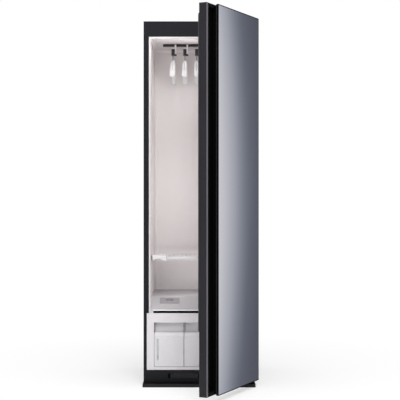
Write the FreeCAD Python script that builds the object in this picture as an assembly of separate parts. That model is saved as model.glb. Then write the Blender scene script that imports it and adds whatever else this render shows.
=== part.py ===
import FreeCAD, Part
import math
import os

# Clothes care steam cabinet: a tall cabinet with a hinged mirror door, a hanging chamber that steam
# and fan air pass through, and a machine space with slide-in water tanks below it.
# Millimetres. +Z is up, +X is to the right as seen from the front, +Y points to the back.
# The origin is on the floor, under the middle of the casing. The door stands open at rest.

V = FreeCAD.Vector
UP = V(0, 0, 1)
ALONG_X = V(1, 0, 0)
ALONG_Y = V(0, 1, 0)
LEFT, RIGHT = -1, 1
TOUCH = 0.001

# ---- casing
CABINET_WIDTH = 595.0
CABINET_DEPTH = 570.0
CABINET_TOP = 1951.5
SHEET = 1.2
HEADER_HEIGHT = 83.0
HEADER_DEPTH = 40.0
STILE_WIDTH = 28.4
NARROW_STILE_WIDTH = 17.1
STILE_RETURN = 14.0
REAR_FLANGE = 20.0
PLINTH_HEIGHT = 64.0
VENT_WIDTH = 310.0
VENT_RAISE = 20.0
VENT_HEIGHT = 25.0
VENT_SLATS = 4
VENT_SLAT_THICKNESS = 1.6
VENT_SLAT_DEPTH = 8.0
TRAY_THICKNESS = 2.0
TRAY_UPSTAND = 15.0

# ---- floor frame and feet
FLOOR_FRAME_HEIGHT = 18.0
FLOOR_FRAME_REACH = 66.0
FLOOR_FRAME_OVERHANG = 2.5
FLOOR_RUNNER_WIDTH = 40.0
FLOOR_FRONT_BAR_DEPTH = 96.0
FLOOR_RUNNER_INSET = 7.5
FLOOR_BAR_ROUND = 4.0
FOOT_RADIUS = 20.0
FOOT_PAD = 8.0
FOOT_CHAMFER = 1.0
FOOT_STEM_RADIUS = 5.0
FOOT_STEM_LENGTH = 34.0
FOOT_BOSS_RADIUS = 10.0
FOOT_BOSS_HEIGHT = 16.0
FOOT_INSET = 77.5
FOOT_BACKSET = 62.0

# ---- chamber
TRIM_WIDTH = 9.0
TRIM_DEPTH = 6.0
TRIM_ROUND = 1.5
LINER = 2.5
CHAMBER_DEPTH = 500.0
COVE_RADIUS = 20.0
LIP_GAP = 12.8
LIP_HEIGHT = 12.2
LIP_DEPTH = 10.0
SLOPE_RISE = 55.0
SLOPE_DEPTH = 110.0
FLOOR_SHEET = 3.0
AIR_HOLE_RADIUS = 3.0
AIR_HOLE_PITCH = 14.0
AIR_HOLE_COLUMNS = 33
AIR_HOLE_ROWS = 4
AIR_HOLE_START = 66.0

# ---- hanger rail, posts, sockets and hangers
RAIL_END_GAP = 57.6
RAIL_HEIGHT = 13.0
RAIL_DEPTH = 30.0
RAIL_SETBACK = 256.0
RAIL_ROUND = 5.0
HANGERS = 5
HANGER_PITCH = 66.0
POST_WIDTH = 9.5
POST_DEPTH = 10.0
POST_TOP_GAP = 4.0
SOCKET_DROP = 66.0
SOCKET_WIDTH = 17.5
SOCKET_DEPTH = 30.0
SOCKET_HEIGHT = 36.0
SOCKET_FOOT = 7.0
SOCKET_FOOT_OVERHANG = 1.5
SOCKET_ROUND = 4.0
PIVOT_HEIGHT = 18.0
PIVOT_RADIUS = 5.0
PIVOT_HALF_LENGTH = 6.5
PIVOT_FIT = 0.05
PIVOT_END_GAP = 0.3
STEM_RADIUS = 3.0
STEM_SIDE_GAP = 0.5
STEM_SWING_GAP = 3.6
NECK_RADIUS = 4.5
NECK_TOP_GAP = 1.5
KNOB_DROP = 27.0
KNOB_RADIUS = 11.0
HANGER_HALF_LENGTH = 210.0
HANGER_DROP = 34.0
HANGER_END_DROP = 92.0
HANGER_CENTRE_THICKNESS = 34.0
HANGER_END_THICKNESS = 24.0
HANGER_WIDTH = 30.0
HANGER_ROUND = 6.0

# ---- shelf
SHELF_ABOVE_DECK = 215.5
SHELF_THICKNESS = 13.5
SHELF_SIDE_GAP = 5.1
SHELF_FRONT = 130.0
SHELF_BACK = 430.0
SHELF_EAR_FRONT = 22.0
SHELF_EAR_WIDTH = 77.0
SHELF_EAR_RISE = 12.0
SHELF_EAR_DROP = 14.5
SHELF_EAR_ARCH = 9.0
SHELF_EAR_INNER_FOOT = 24.0
SHELF_EAR_OUTER_FOOT = 14.0
SHELF_ROUND = 12.0
SHELF_SLOT_LENGTH = 190.0
SHELF_SLOT_WIDTH = 3.0
SHELF_SLOT_PITCH = 24.0
SHELF_SLOTS = 15
SHELF_SEAT_GAP = 0.3
LEDGE_WIDTH = 12.0
LEDGE_HEIGHT = 12.0
LEDGE_INSET = 10.0
LEDGE_ROUND = 4.0

# ---- lint filter in the sloped floor
FILTER_SIDE_GAP = 47.1
FILTER_WIDTH = 107.0
FILTER_LENGTH = 54.0
FILTER_FACE = 2.0
FILTER_SEAT_GAP = 0.3
FILTER_BORDER = 4.0
FILTER_DEPTH = 88.0
FILTER_RAISE = 34.0
FILTER_RIM = 5.0
FILTER_BAR = 1.5
FILTER_BARS = 11
FILTER_TAB_WIDTH = 40.0
FILTER_TAB_HEIGHT = 9.0
FILTER_TAB_THICKNESS = 3.0
FILTER_POCKET_WALL = 2.0
FILTER_POCKET_GAP = 1.0

# ---- tank bay, tanks and blank cover
FASCIA_HEAD = 50.5
FASCIA_THICKNESS = 4.0
FASCIA_SILL = 16.0
BAY_MARGIN = 38.4
BAY_SECTIONS = 3
BAY_WALL = 3.0
BAY_DEPTH = 196.0
BAY_FLOOR_RAISE = 2.7
BAY_TOP_GAP = 4.2
BAY_DIVIDER_SETBACK = 8.0
TANK_GROOVE = 3.0
TANK_HEIGHT = 214.0
TANK_LIP_HEIGHT = 16.0
TANK_LIP_SLOPE = 16.0
TANK_FACE_THICKNESS = 4.0
TANK_FACE_LEAN = 8.0
TANK_SEAT_GAP = 0.3
TANK_SIDE_GAP = 3.0
TANK_BACK_GAP = 3.0
TANK_WALL = 2.5
TANK_ROUND = 6.0
GRIP_DEPTH = 40.0
GRIP_HEIGHT = 68.0
WINDOW_FROM_EDGE = 13.0
WINDOW_WIDTH = 9.0
WINDOW_RAISE = 34.0
WINDOW_DROP = 2.0
FILLER_SETBACK = 120.0
FILLER_RADIUS = 20.0
FILLER_NECK_WALL = 4.0
FILLER_NECK_HEIGHT = 8.0
CAP_GAP = 0.3
CAP_WALL = 3.0
CAP_TOP = 2.5
CAP_GRIP_HEIGHT = 2.5
CAP_GRIP_WIDTH = 8.0

# ---- door, drawn closed and then turned about its hinge pin
DOOR_GAP = 8.0
DOOR_BODY_THICKNESS = 41.5
DOOR_BACKING_THICKNESS = 8.5
DOOR_GLASS_THICKNESS = 4.0
DOOR_LIFT = 10.5
DOOR_RISE = 2.5
DOOR_WALL = 3.0
DOOR_EDGE_ROUND = 2.0
GLASS_BELOW_DOOR = 7.5
GLASS_ABOVE_DOOR = 6.0
GLASS_SETBACK = 100.0
GLASS_BEVEL = 1.0
BACKING_INSET = 2.0
GRIP_CHANNEL_WIDTH = 132.0
GRIP_POCKET_START = 8.0
GRIP_POCKET_WIDTH = 112.0
GRIP_POCKET_DEPTH = 20.0
GRIP_POCKET_SLOPE = 7.0
GRIP_CHANNEL_WALL = 2.5
CONTROL_TOP = 1383.0
CONTROL_HEIGHT = 200.0
CONTROL_WIDTH = 28.0
CONTROL_THICKNESS = 2.0
CONTROL_KEYS = 4
CONTROL_KEY_RADIUS = 5.0
CONTROL_KEY_RAISE = 0.4
GASKET_WIDTH = 12.0
GASKET_CLEARANCE = 0.3
GASKET_FREE_EDGE = 4.5
GASKET_BELOW_FASCIA_TOP = 31.0
GASKET_ABOVE_OPENING = 41.5
DOOR_LINER = 3.0
DOOR_PLUG_SIDE_GAP = 15.1
DOOR_PLUG_BOTTOM_GAP = 9.0
DOOR_PLUG_TOP_GAP = 18.5
DOOR_PLUG_RAISE = 14.0
DOOR_PLUG_ROUND = 6.0
DOOR_PLUG_CORNER = 24.0
DOOR_REST_ANGLE = 63.0

# ---- door hinge
HINGE_EDGE = 15.0
HINGE_REACH = 30.0
HINGE_PIN_RADIUS = 6.0
HINGE_FIT = 0.05
HINGE_PLATE_HALF_WIDTH = 12.0
HINGE_FLANGE = 3.0
HINGE_FLANGE_WIDTH = 56.3
UPPER_ARM_DROP = 13.5
UPPER_ARM_THICKNESS = 6.0
UPPER_FLANGE_HEIGHT = 12.0
UPPER_PIN_LENGTH = 34.0
LOWER_PLATE_RAISE = 5.0
LOWER_PLATE_THICKNESS = 5.0
LOWER_FLANGE_RAISE = 3.0
LOWER_FLANGE_HEIGHT = 18.0
LOWER_PIN_LENGTH = 41.0
BUSH_WALL = 3.0
BUSH_COLLAR = 2.0
BUSH_SEAT_GAP = 0.3
BUSH_LENGTH = 33.0
HINGE_BLOCK_LEFT = 35.5
HINGE_BLOCK_HEIGHT = 40.0
HINGE_NOTCH_LEFT = 29.0
HINGE_NOTCH_GAP = 2.0

# ---- blowers in the roof space and under the deck
BLOWER_SIZE = 156.0
BLOWER_HEIGHT = 46.0
BLOWER_WALL = 2.0
BLOWER_ROUND = 26.0
BLOWER_OUTLET = 78.0
BLOWER_INLET_RADIUS = 42.0
WHEEL_RADIUS = 60.0
WHEEL_INNER_RADIUS = 46.0
WHEEL_HEIGHT = 34.0
WHEEL_DISC = 2.0
WHEEL_BLADES = 24
WHEEL_BLADE_THICKNESS = 1.2
WHEEL_HUB_RADIUS = 10.0
MOTOR_RADIUS = 30.0
MOTOR_HEIGHT = 20.0
SHAFT_RADIUS = 4.0
SHAFT_FIT = 0.05
SHAFT_HOLE_GAP = 2.0
UPPER_BLOWER_RIGHT = 60.0
LOWER_BLOWER_FROM_RIGHT = 117.5
LOWER_BLOWER_FROM_BACK = 155.0

# ---- heat pump, steam and water
COIL_WIDTH = 190.0
COIL_DEPTH = 44.0
COIL_HEIGHT = 200.0
COIL_FINS = 24
COIL_FIN = 1.2
COIL_PLATE = 2.0
COIL_TUBES = 4
COIL_TUBE_RADIUS = 5.0
COIL_FROM_LEFT = 147.5
EVAPORATOR_SETBACK = 250.0
CONDENSER_SETBACK = 340.0
COMPRESSOR_FROM_RIGHT = 122.5
COMPRESSOR_FROM_BACK = 135.0
COMPRESSOR_RADIUS = 52.0
COMPRESSOR_HEIGHT = 190.0
COMPRESSOR_FOOT = 140.0
COMPRESSOR_FOOT_THICKNESS = 10.0
COMPRESSOR_ROUND = 14.0
PIPE_RADIUS = 4.0
PIPE_BEND = 16.0
PIPE_RISE = 30.0
STEAM_BOX = (180.0, 84.0, 76.0)
STEAM_FROM_RIGHT = 107.5
STEAM_SETBACK = 245.0
STEAM_ROUND = 8.0
STEAM_LID_WIDTH = 90.0
STEAM_LID_HEIGHT = 6.0
NOZZLE_RADIUS = 22.0
NOZZLE_HEIGHT = 16.0
NOZZLE_PIPE_RADIUS = 8.0
NOZZLE_HOLE_RADIUS = 3.0
NOZZLE_HOLES = 6
NOZZLE_ROUND = 3.0
PUMP_RADIUS = 22.0
PUMP_HEIGHT = 52.0
PUMP_SPIGOT_RADIUS = 6.0
PUMP_SPIGOT_LENGTH = 14.0
PUMP_SETBACK = 110.0
CONTROL_BOX = (130.0, 180.0, 36.0)
CONTROL_BOX_FROM_LEFT = 97.5
CONTROL_BOX_SETBACK = 295.0
CONTROL_BOX_ROUND = 4.0
GLAND_FROM_LEFT = 97.5
GLAND_RAISE = 100.0
GLAND_RADIUS = 11.0
GLAND_BORE = 4.5
GLAND_LENGTH = 14.0
GLAND_FLANGE = 16.0
GLAND_FLANGE_THICKNESS = 2.0

# ---- screws
SCREW_HEAD_RADIUS = 4.0
SCREW_HEAD = 1.6
SCREW_RADIUS = 1.9
SCREW_HOLE_GAP = 0.1
SCREW_LENGTH = 6.0
SCREW_ROWS = 6
SCREW_EDGE = 10.0
SCREW_END = 60.0
HINGE_SCREW_SPREAD = 14.0

# ---- worked out from the sizes above
HALF = CABINET_WIDTH / 2
INNER_HALF = HALF - SHEET
FRONT = -CABINET_DEPTH / 2
BACK = CABINET_DEPTH / 2
BODY_BOTTOM = FLOOR_FRAME_HEIGHT
TRAY_TOP = BODY_BOTTOM + TRAY_THICKNESS
PLINTH_TOP = BODY_BOTTOM + PLINTH_HEIGHT
VENT_BOTTOM = BODY_BOTTOM + VENT_RAISE
VENT_TOP = VENT_BOTTOM + VENT_HEIGHT
OPENING_TOP = CABINET_TOP - HEADER_HEIGHT
OPENING_HALF = HALF - STILE_WIDTH
CHAMBER_HALF = OPENING_HALF - TRIM_WIDTH
CEILING = OPENING_TOP - LINER
CHAMBER_BACK = FRONT + CHAMBER_DEPTH
BAY_HALF = HALF - NARROW_STILE_WIDTH - BAY_MARGIN
SECTION = 2 * BAY_HALF / BAY_SECTIONS
FASCIA_WINDOW_BOTTOM = PLINTH_TOP + FASCIA_SILL
TANK_FACE_BOTTOM = FASCIA_WINDOW_BOTTOM + TANK_GROOVE
BAY_FLOOR_Z = TANK_FACE_BOTTOM + BAY_FLOOR_RAISE
TANK_TOP = BAY_FLOOR_Z + TANK_SEAT_GAP + TANK_HEIGHT
GRIP_FLOOR = TANK_TOP - GRIP_HEIGHT
TANK_FACE_BEND = GRIP_FLOOR + TANK_LIP_HEIGHT
TANK_FACE_TOP = TANK_FACE_BEND + TANK_LIP_SLOPE
WINDOW_BOTTOM = TANK_FACE_BOTTOM + WINDOW_RAISE
WINDOW_TOP = GRIP_FLOOR - WINDOW_DROP
FILLER_TOP = TANK_TOP + FILLER_NECK_HEIGHT
CAP_UPPER = FILLER_TOP + CAP_GAP + CAP_TOP
BAY_CEILING = CAP_UPPER + CAP_GRIP_HEIGHT + BAY_TOP_GAP
FASCIA_WINDOW_TOP = BAY_CEILING
FASCIA_TOP = FASCIA_WINDOW_TOP + FASCIA_HEAD
TANK_BACK = FRONT + BAY_DEPTH - BAY_WALL - TANK_BACK_GAP
LIP_BOTTOM = FASCIA_TOP + LIP_GAP
LIP_TOP = LIP_BOTTOM + LIP_HEIGHT
DECK_HEIGHT = LIP_TOP + SLOPE_RISE
SLOPE_ANGLE = math.atan2(SLOPE_RISE, SLOPE_DEPTH)
FILTER_LEFT = FILTER_SIDE_GAP - CHAMBER_HALF
FILTER_CENTRE_Z = LIP_TOP + FILTER_RAISE
SHELF_TOP = DECK_HEIGHT + SHELF_ABOVE_DECK
SHELF_BOTTOM = SHELF_TOP - SHELF_THICKNESS
SHELF_HALF = CHAMBER_HALF - SHELF_SIDE_GAP
LOWER_FLANGE_BOTTOM = BODY_BOTTOM + LOWER_FLANGE_RAISE
LOWER_FLANGE_TOP = LOWER_FLANGE_BOTTOM + LOWER_FLANGE_HEIGHT
LOWER_PLATE_BOTTOM = LOWER_FLANGE_BOTTOM + LOWER_PLATE_RAISE
LOWER_PLATE_TOP = LOWER_PLATE_BOTTOM + LOWER_PLATE_THICKNESS
UPPER_ARM_BOTTOM = CABINET_TOP - UPPER_ARM_DROP
UPPER_FLANGE_TOP = UPPER_ARM_BOTTOM + UPPER_FLANGE_HEIGHT
HINGE_FLANGE_LEFT = INNER_HALF - HINGE_FLANGE_WIDTH
HINGE_NOTCH_BOTTOM = UPPER_ARM_BOTTOM - HINGE_NOTCH_GAP
DOOR_BOTTOM = LOWER_PLATE_TOP + DOOR_LIFT
DOOR_TOP = CABINET_TOP + DOOR_RISE
GLASS_BOTTOM = DOOR_BOTTOM - GLASS_BELOW_DOOR
GLASS_TOP = DOOR_TOP + GLASS_ABOVE_DOOR
GLASS_LEFT = GLASS_SETBACK - HALF
GASKET_BOTTOM = FASCIA_TOP - GASKET_BELOW_FASCIA_TOP
GASKET_TOP = OPENING_TOP + GASKET_ABOVE_OPENING
DOOR_PLUG_HALF_WIDTH = CHAMBER_HALF - DOOR_PLUG_SIDE_GAP
DOOR_PLUG_BOTTOM = LIP_TOP + DOOR_PLUG_BOTTOM_GAP
DOOR_PLUG_TOP = OPENING_TOP - DOOR_PLUG_TOP_GAP
DOOR_INNER = FRONT - DOOR_GAP
DOOR_MIDDLE = DOOR_INNER - DOOR_BODY_THICKNESS
DOOR_BACKED = DOOR_MIDDLE - DOOR_BACKING_THICKNESS
DOOR_OUTER = DOOR_BACKED - DOOR_GLASS_THICKNESS
HINGE = V(HALF - HINGE_EDGE, FRONT - HINGE_REACH, 0)
NOTCH_X = HALF - HINGE_NOTCH_LEFT
BLOCK_X = HALF - HINGE_BLOCK_LEFT
BUSH_RADIUS = HINGE_PIN_RADIUS + HINGE_FIT + BUSH_WALL
UPPER_BLOCK_BOTTOM = HINGE_NOTCH_BOTTOM - HINGE_BLOCK_HEIGHT
LOWER_BLOCK_TOP = DOOR_BOTTOM + HINGE_BLOCK_HEIGHT
DOOR_INSIDE_X = (DOOR_WALL - HALF, HALF - DOOR_WALL)
DOOR_INSIDE_Z = (DOOR_BOTTOM + DOOR_WALL, DOOR_TOP - DOOR_WALL)
BORE_FIT = 0.05
SOCKET_BOTTOM = CEILING - SOCKET_DROP
SOCKET_BACK = FRONT + RAIL_SETBACK
KNOB_TOP = SOCKET_BOTTOM - KNOB_DROP
HANGER_CENTRE_Z = SOCKET_BOTTOM - HANGER_DROP
UPPER_BLOWER = (UPPER_BLOWER_RIGHT, 0.0)
LOWER_BLOWER = (HALF - LOWER_BLOWER_FROM_RIGHT, BACK - LOWER_BLOWER_FROM_BACK)
COIL_X = COIL_FROM_LEFT - HALF
COMPRESSOR = (HALF - COMPRESSOR_FROM_RIGHT, BACK - COMPRESSOR_FROM_BACK)
STEAM_CENTRE = (HALF - STEAM_FROM_RIGHT, FRONT + STEAM_SETBACK)
CONTROL_BOX_CENTRE = (CONTROL_BOX_FROM_LEFT - HALF, FRONT + CONTROL_BOX_SETBACK)
GLAND = (GLAND_FROM_LEFT - HALF, TRAY_TOP + GLAND_RAISE)
PIVOT_Z = SOCKET_BOTTOM + PIVOT_HEIGHT


# ---- shape helpers
def box(x, y, z):
    """A block from pairs of low and high coordinates."""
    return Part.makeBox(x[1] - x[0], y[1] - y[0], z[1] - z[0], V(x[0], y[0], z[0]))


def around(middle, width):
    """Low and high coordinates of a width centred on a middle."""
    return middle - width / 2, middle + width / 2


def both_sides(half):
    """Low and high coordinates of a width centred on the origin, from half of it."""
    return -half, half


def rod(radius, low, high, x=0.0, y=0.0):
    """An upright cylinder between two heights."""
    return Part.makeCylinder(radius, high - low, V(x, y, low), UP)


def polygon(points):
    """A face whose corners are the points in order."""
    return Part.Face(Part.makePolygon(points + points[:1]))


def extruded_x(profile, x):
    """A solid with a (y, z) outline between two x positions."""
    face = polygon([V(x[0], y, z) for y, z in profile])
    return face.extrude(V(x[1] - x[0], 0, 0))


def extruded_z(profile, z):
    """A solid with an (x, y) outline between two heights."""
    face = polygon([V(x, y, z[0]) for x, y in profile])
    return face.extrude(V(0, 0, z[1] - z[0]))


def edges_along(shape, axis, keep=lambda middle: True):
    """The straight edges parallel to an axis whose middle point passes a test."""
    found = []
    for edge in shape.Edges:
        if len(edge.Vertexes) != 2:
            continue
        run = edge.Vertexes[1].Point - edge.Vertexes[0].Point
        straight = abs(run.Length - edge.Length) < TOUCH
        if straight and run.cross(axis).Length < TOUCH and keep(edge.CenterOfMass):
            found.append(edge)
    return found


def rounded(shape, radius, axis, keep=lambda middle: True):
    """The shape with its edges along an axis rounded."""
    return shape.makeFillet(radius, edges_along(shape, axis, keep))


def edges_at_depth(shape, y):
    """The edges of a shape that lie in the plane at one y."""
    return [edge for edge in shape.Edges if abs(edge.CenterOfMass.y - y) < TOUCH]


def upper_rims(shape, height):
    """The closed edges of a shape above a height."""
    return [edge for edge in shape.Edges if edge.Closed and edge.CenterOfMass.z > height]


def joined(shapes):
    """One solid from touching solids, without the seams between them."""
    return shapes[0].fuse(list(shapes[1:])).removeSplitter()


def cut(shape, tools):
    """The shape without the tools."""
    return shape.cut(list(tools))


def group(shapes):
    """Several separate solids kept together in one node."""
    return Part.makeCompound(list(shapes))


def mirrored(shape):
    """The same piece for the other side of the cabinet."""
    return shape.mirror(V(0, 0, 0), ALONG_X)


# ---- casing
def screw_heights():
    """Heights of the screws along each rear edge."""
    low, high = BODY_BOTTOM + SCREW_END, CABINET_TOP - SCREW_END
    step = (high - low) / (SCREW_ROWS - 1)
    return [low + i * step for i in range(SCREW_ROWS)]


def rear_screw_holes():
    """The holes that the rear screws pass through."""
    radius = SCREW_RADIUS + SCREW_HOLE_GAP
    start = BACK - SCREW_LENGTH
    return [
        Part.makeCylinder(radius, SCREW_LENGTH, V(side * (HALF - SCREW_EDGE), start, z), ALONG_Y)
        for side in (LEFT, RIGHT)
        for z in screw_heights()
    ]


def side_panel():
    """Right side sheet, folded round at the front into the stile and at the back into a flange."""
    top = CABINET_TOP - SHEET
    sheet = box((INNER_HALF, HALF), (FRONT, BACK - SHEET), (BODY_BOTTOM, top))
    stile = box((OPENING_HALF, HALF), (FRONT, FRONT + SHEET), (FASCIA_TOP, OPENING_TOP))
    narrow = box((HALF - NARROW_STILE_WIDTH, HALF), (FRONT, FRONT + SHEET), (PLINTH_TOP, FASCIA_TOP))
    fold = box(
        (OPENING_HALF, OPENING_HALF + SHEET),
        (FRONT, FRONT + STILE_RETURN),
        (FASCIA_TOP, OPENING_TOP),
    )
    flange = box((HALF - REAR_FLANGE, HALF), (BACK - 2 * SHEET, BACK - SHEET), (BODY_BOTTOM, top))
    return cut(joined([sheet, stile, narrow, fold, flange]), rear_screw_holes())


def top_panel():
    """Sheet over the casing."""
    return box((-HALF, HALF), (FRONT, BACK), (CABINET_TOP - SHEET, CABINET_TOP))


def back_panel():
    """Rear sheet with its screw holes and the cable gland's hole."""
    sheet = box((-HALF, HALF), (BACK - SHEET, BACK), (BODY_BOTTOM, CABINET_TOP - SHEET))
    gland = Part.makeCylinder(
        GLAND_RADIUS + BORE_FIT, GLAND_LENGTH, V(GLAND[0], BACK - GLAND_LENGTH, GLAND[1]), ALONG_Y
    )
    return cut(sheet, rear_screw_holes() + [gland])


def hinge_screw_places():
    """Middle of each hinge screw on the front plane."""
    x = (HINGE_FLANGE_LEFT + HINGE.x - HINGE_PLATE_HALF_WIDTH) / 2
    upper = (UPPER_ARM_BOTTOM + UPPER_FLANGE_TOP) / 2
    lower = (LOWER_FLANGE_BOTTOM + LOWER_FLANGE_TOP) / 2
    spread = HINGE_SCREW_SPREAD / 2
    return [(x + side * spread, z) for z in (upper, lower) for side in (LEFT, RIGHT)]


def hinge_screw_holes():
    """The holes that the hinge screws pass through."""
    radius = SCREW_RADIUS + SCREW_HOLE_GAP
    return [
        Part.makeCylinder(radius, 2 * SCREW_LENGTH, V(x, FRONT - SCREW_LENGTH, z), ALONG_Y)
        for x, z in hinge_screw_places()
    ]


def front_header():
    """Channel over the opening that carries the upper hinge arm."""
    top = CABINET_TOP - SHEET
    outer = box((-INNER_HALF, INNER_HALF), (FRONT, FRONT + HEADER_DEPTH), (OPENING_TOP, top))
    hollow = box(
        (-INNER_HALF, INNER_HALF),
        (FRONT + SHEET, FRONT + HEADER_DEPTH),
        (OPENING_TOP + SHEET, top - SHEET),
    )
    return cut(outer, [hollow] + hinge_screw_holes())


def plinth_panel():
    """Kick panel with a louvred air inlet."""
    depth = VENT_SLAT_DEPTH
    sheet = box((-INNER_HALF, INNER_HALF), (FRONT, FRONT + SHEET), (BODY_BOTTOM, PLINTH_TOP))
    vent = box((-VENT_WIDTH / 2, VENT_WIDTH / 2), (FRONT, FRONT + depth), (VENT_BOTTOM, VENT_TOP))
    frame = cut(
        box(
            (-VENT_WIDTH / 2 - SHEET, VENT_WIDTH / 2 + SHEET),
            (FRONT, FRONT + depth),
            (VENT_BOTTOM - SHEET, VENT_TOP + SHEET),
        ),
        [vent],
    )
    pitch = (VENT_TOP - VENT_BOTTOM) / (VENT_SLATS + 1)
    slats = []
    for i in range(VENT_SLATS):
        low = VENT_BOTTOM + (i + 1) * pitch
        profile = [
            (FRONT + SHEET, low - VENT_SLAT_THICKNESS),
            (FRONT + SHEET, low),
            (FRONT + depth, low + pitch / 2),
            (FRONT + depth, low + pitch / 2 - VENT_SLAT_THICKNESS),
        ]
        slats.append(extruded_x(profile, (-VENT_WIDTH / 2, VENT_WIDTH / 2)))
    return cut(joined([cut(sheet, [vent]), frame] + slats), hinge_screw_holes())


def base_tray():
    """Bottom tray with upstands, and bosses for the threaded feet."""
    low, high = FRONT + SHEET, BACK - 2 * SHEET
    outer = box((-INNER_HALF, INNER_HALF), (low, high), (BODY_BOTTOM, TRAY_TOP + TRAY_UPSTAND))
    hollow = box(
        (-INNER_HALF + SHEET, INNER_HALF - SHEET),
        (low, high - SHEET),
        (TRAY_TOP, TRAY_TOP + TRAY_UPSTAND),
    )
    pan = cut(outer, [hollow])
    boss_top = TRAY_TOP + FOOT_BOSS_HEIGHT
    bosses = [rod(FOOT_BOSS_RADIUS, BODY_BOTTOM, boss_top, x, y) for x, y in front_feet()]
    bores = [rod(FOOT_STEM_RADIUS + BORE_FIT, BODY_BOTTOM, boss_top, x, y) for x, y in front_feet()]
    return cut(joined([pan] + bosses), bores)


def floor_frame():
    """Flat ring on the floor; its front bar reaches out below the door and stops the tip forward."""
    runner = HALF - FLOOR_RUNNER_INSET
    bar_back = FRONT - FLOOR_FRAME_REACH + FLOOR_FRONT_BAR_DEPTH
    half = HALF + FLOOR_FRAME_OVERHANG
    bar = box((-half, half), (FRONT - FLOOR_FRAME_REACH, bar_back), (0, FLOOR_FRAME_HEIGHT))
    front_edge = FRONT - FLOOR_FRAME_REACH
    bar = rounded(bar, FLOOR_BAR_ROUND, UP, lambda m: m.y < front_edge + TOUCH)
    bar = rounded(bar, FLOOR_BAR_ROUND / 2, ALONG_X, lambda m: m.z > TOUCH and m.y < FRONT)
    ring = cut(
        box((-runner, runner), (bar_back, BACK), (0, FLOOR_FRAME_HEIGHT)),
        [
            box(
                (-runner + FLOOR_RUNNER_WIDTH, runner - FLOOR_RUNNER_WIDTH),
                (bar_back, BACK - FLOOR_RUNNER_WIDTH),
                (0, FLOOR_FRAME_HEIGHT),
            )
        ],
    )
    return joined([bar, ring])


def front_feet():
    """Places of the two adjustable feet."""
    y = FRONT + FOOT_BACKSET
    return [(side * (HALF - FOOT_INSET), y) for side in (LEFT, RIGHT)]


def front_foot(x, y):
    """Foot pad with a stem that turns in the tray's boss."""
    pad = rod(FOOT_RADIUS, 0, FOOT_PAD, x, y)
    pad = pad.makeFillet(FOOT_PAD / 4, upper_rims(pad, FOOT_PAD / 2))
    nut = rod(FOOT_BOSS_RADIUS, FOOT_PAD, BODY_BOTTOM - BUSH_SEAT_GAP, x, y)
    stem = rod(FOOT_STEM_RADIUS, FOOT_PAD, FOOT_PAD + FOOT_STEM_LENGTH - BORE_FIT, x, y)
    return joined([pad, nut, stem])


def rear_feet():
    """Two fixed pads under the tray."""
    y = BACK - FOOT_BACKSET - FOOT_RADIUS / 2
    pads = []
    for side in (LEFT, RIGHT):
        pad = rod(FOOT_RADIUS, 0, BODY_BOTTOM, side * (HALF - FOOT_INSET), y)
        rim = [edge for edge in pad.Edges if edge.Closed and edge.CenterOfMass.z < TOUCH]
        pads.append(pad.makeChamfer(FOOT_CHAMFER, rim))
    return group(pads)


def case_screws():
    """Rear screws and hinge screws, all the same."""

    def screw(x, y, z, inward):
        head = Part.makeCylinder(SCREW_HEAD_RADIUS, SCREW_HEAD, V(x, y, z), inward * -1)
        outer_rim = [edge for edge in head.Edges if edge.Closed and abs(edge.CenterOfMass.y - y) > TOUCH]
        head = head.makeFillet(SCREW_HEAD / 2, outer_rim)
        return joined([head, Part.makeCylinder(SCREW_RADIUS, SCREW_LENGTH, V(x, y, z), inward)])

    rear = [
        screw(side * (HALF - SCREW_EDGE), BACK, z, V(0, -1, 0))
        for side in (LEFT, RIGHT)
        for z in screw_heights()
    ]
    hinges = [screw(x, FRONT - HINGE_FLANGE, z, ALONG_Y) for x, z in hinge_screw_places()]
    return group(rear + hinges)


def cord_gland():
    """Cable gland in the back panel."""
    x, z = GLAND
    inner_end = BACK - GLAND_LENGTH + GLAND_FLANGE_THICKNESS
    body = Part.makeCylinder(GLAND_RADIUS, GLAND_LENGTH, V(x, inner_end, z), ALONG_Y)
    flange = Part.makeCylinder(GLAND_FLANGE, GLAND_FLANGE_THICKNESS, V(x, BACK, z), ALONG_Y)
    bore = Part.makeCylinder(GLAND_BORE, GLAND_LENGTH * 2, V(x, BACK - GLAND_LENGTH, z), ALONG_Y)
    return cut(joined([body, flange]), [bore])


# ---- chamber
def opening_trim():
    """White rim on three sides of the chamber's mouth."""
    outer = box((-OPENING_HALF, OPENING_HALF), (FRONT, FRONT + TRIM_DEPTH), (LIP_BOTTOM, OPENING_TOP))
    inner = box(
        (-CHAMBER_HALF, CHAMBER_HALF),
        (FRONT, FRONT + TRIM_DEPTH),
        (LIP_BOTTOM, OPENING_TOP - TRIM_WIDTH),
    )
    frame = cut(outer, [inner])
    return rounded(frame, TRIM_ROUND, UP, lambda m: abs(m.x) < OPENING_HALF - TOUCH and m.y < FRONT + TOUCH)


def liner_wall(side):
    """Side wall of the chamber with the ledge that the shelf rests on."""
    back = CHAMBER_BACK - COVE_RADIUS
    wall = box((CHAMBER_HALF, CHAMBER_HALF + LINER), (FRONT + TRIM_DEPTH, back), (LIP_BOTTOM, CEILING))
    seat = SHELF_BOTTOM - SHELF_SEAT_GAP
    ledge = box(
        (CHAMBER_HALF - LEDGE_WIDTH, CHAMBER_HALF),
        (FRONT + SHELF_FRONT + LEDGE_INSET, FRONT + SHELF_BACK - LEDGE_INSET),
        (seat - LEDGE_HEIGHT, seat),
    )
    ledge = rounded(ledge, LEDGE_ROUND, ALONG_Y, lambda m: m.x < CHAMBER_HALF - TOUCH and m.z < seat - TOUCH)
    wall = joined([wall, ledge])
    return wall if side == RIGHT else mirrored(wall)


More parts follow.
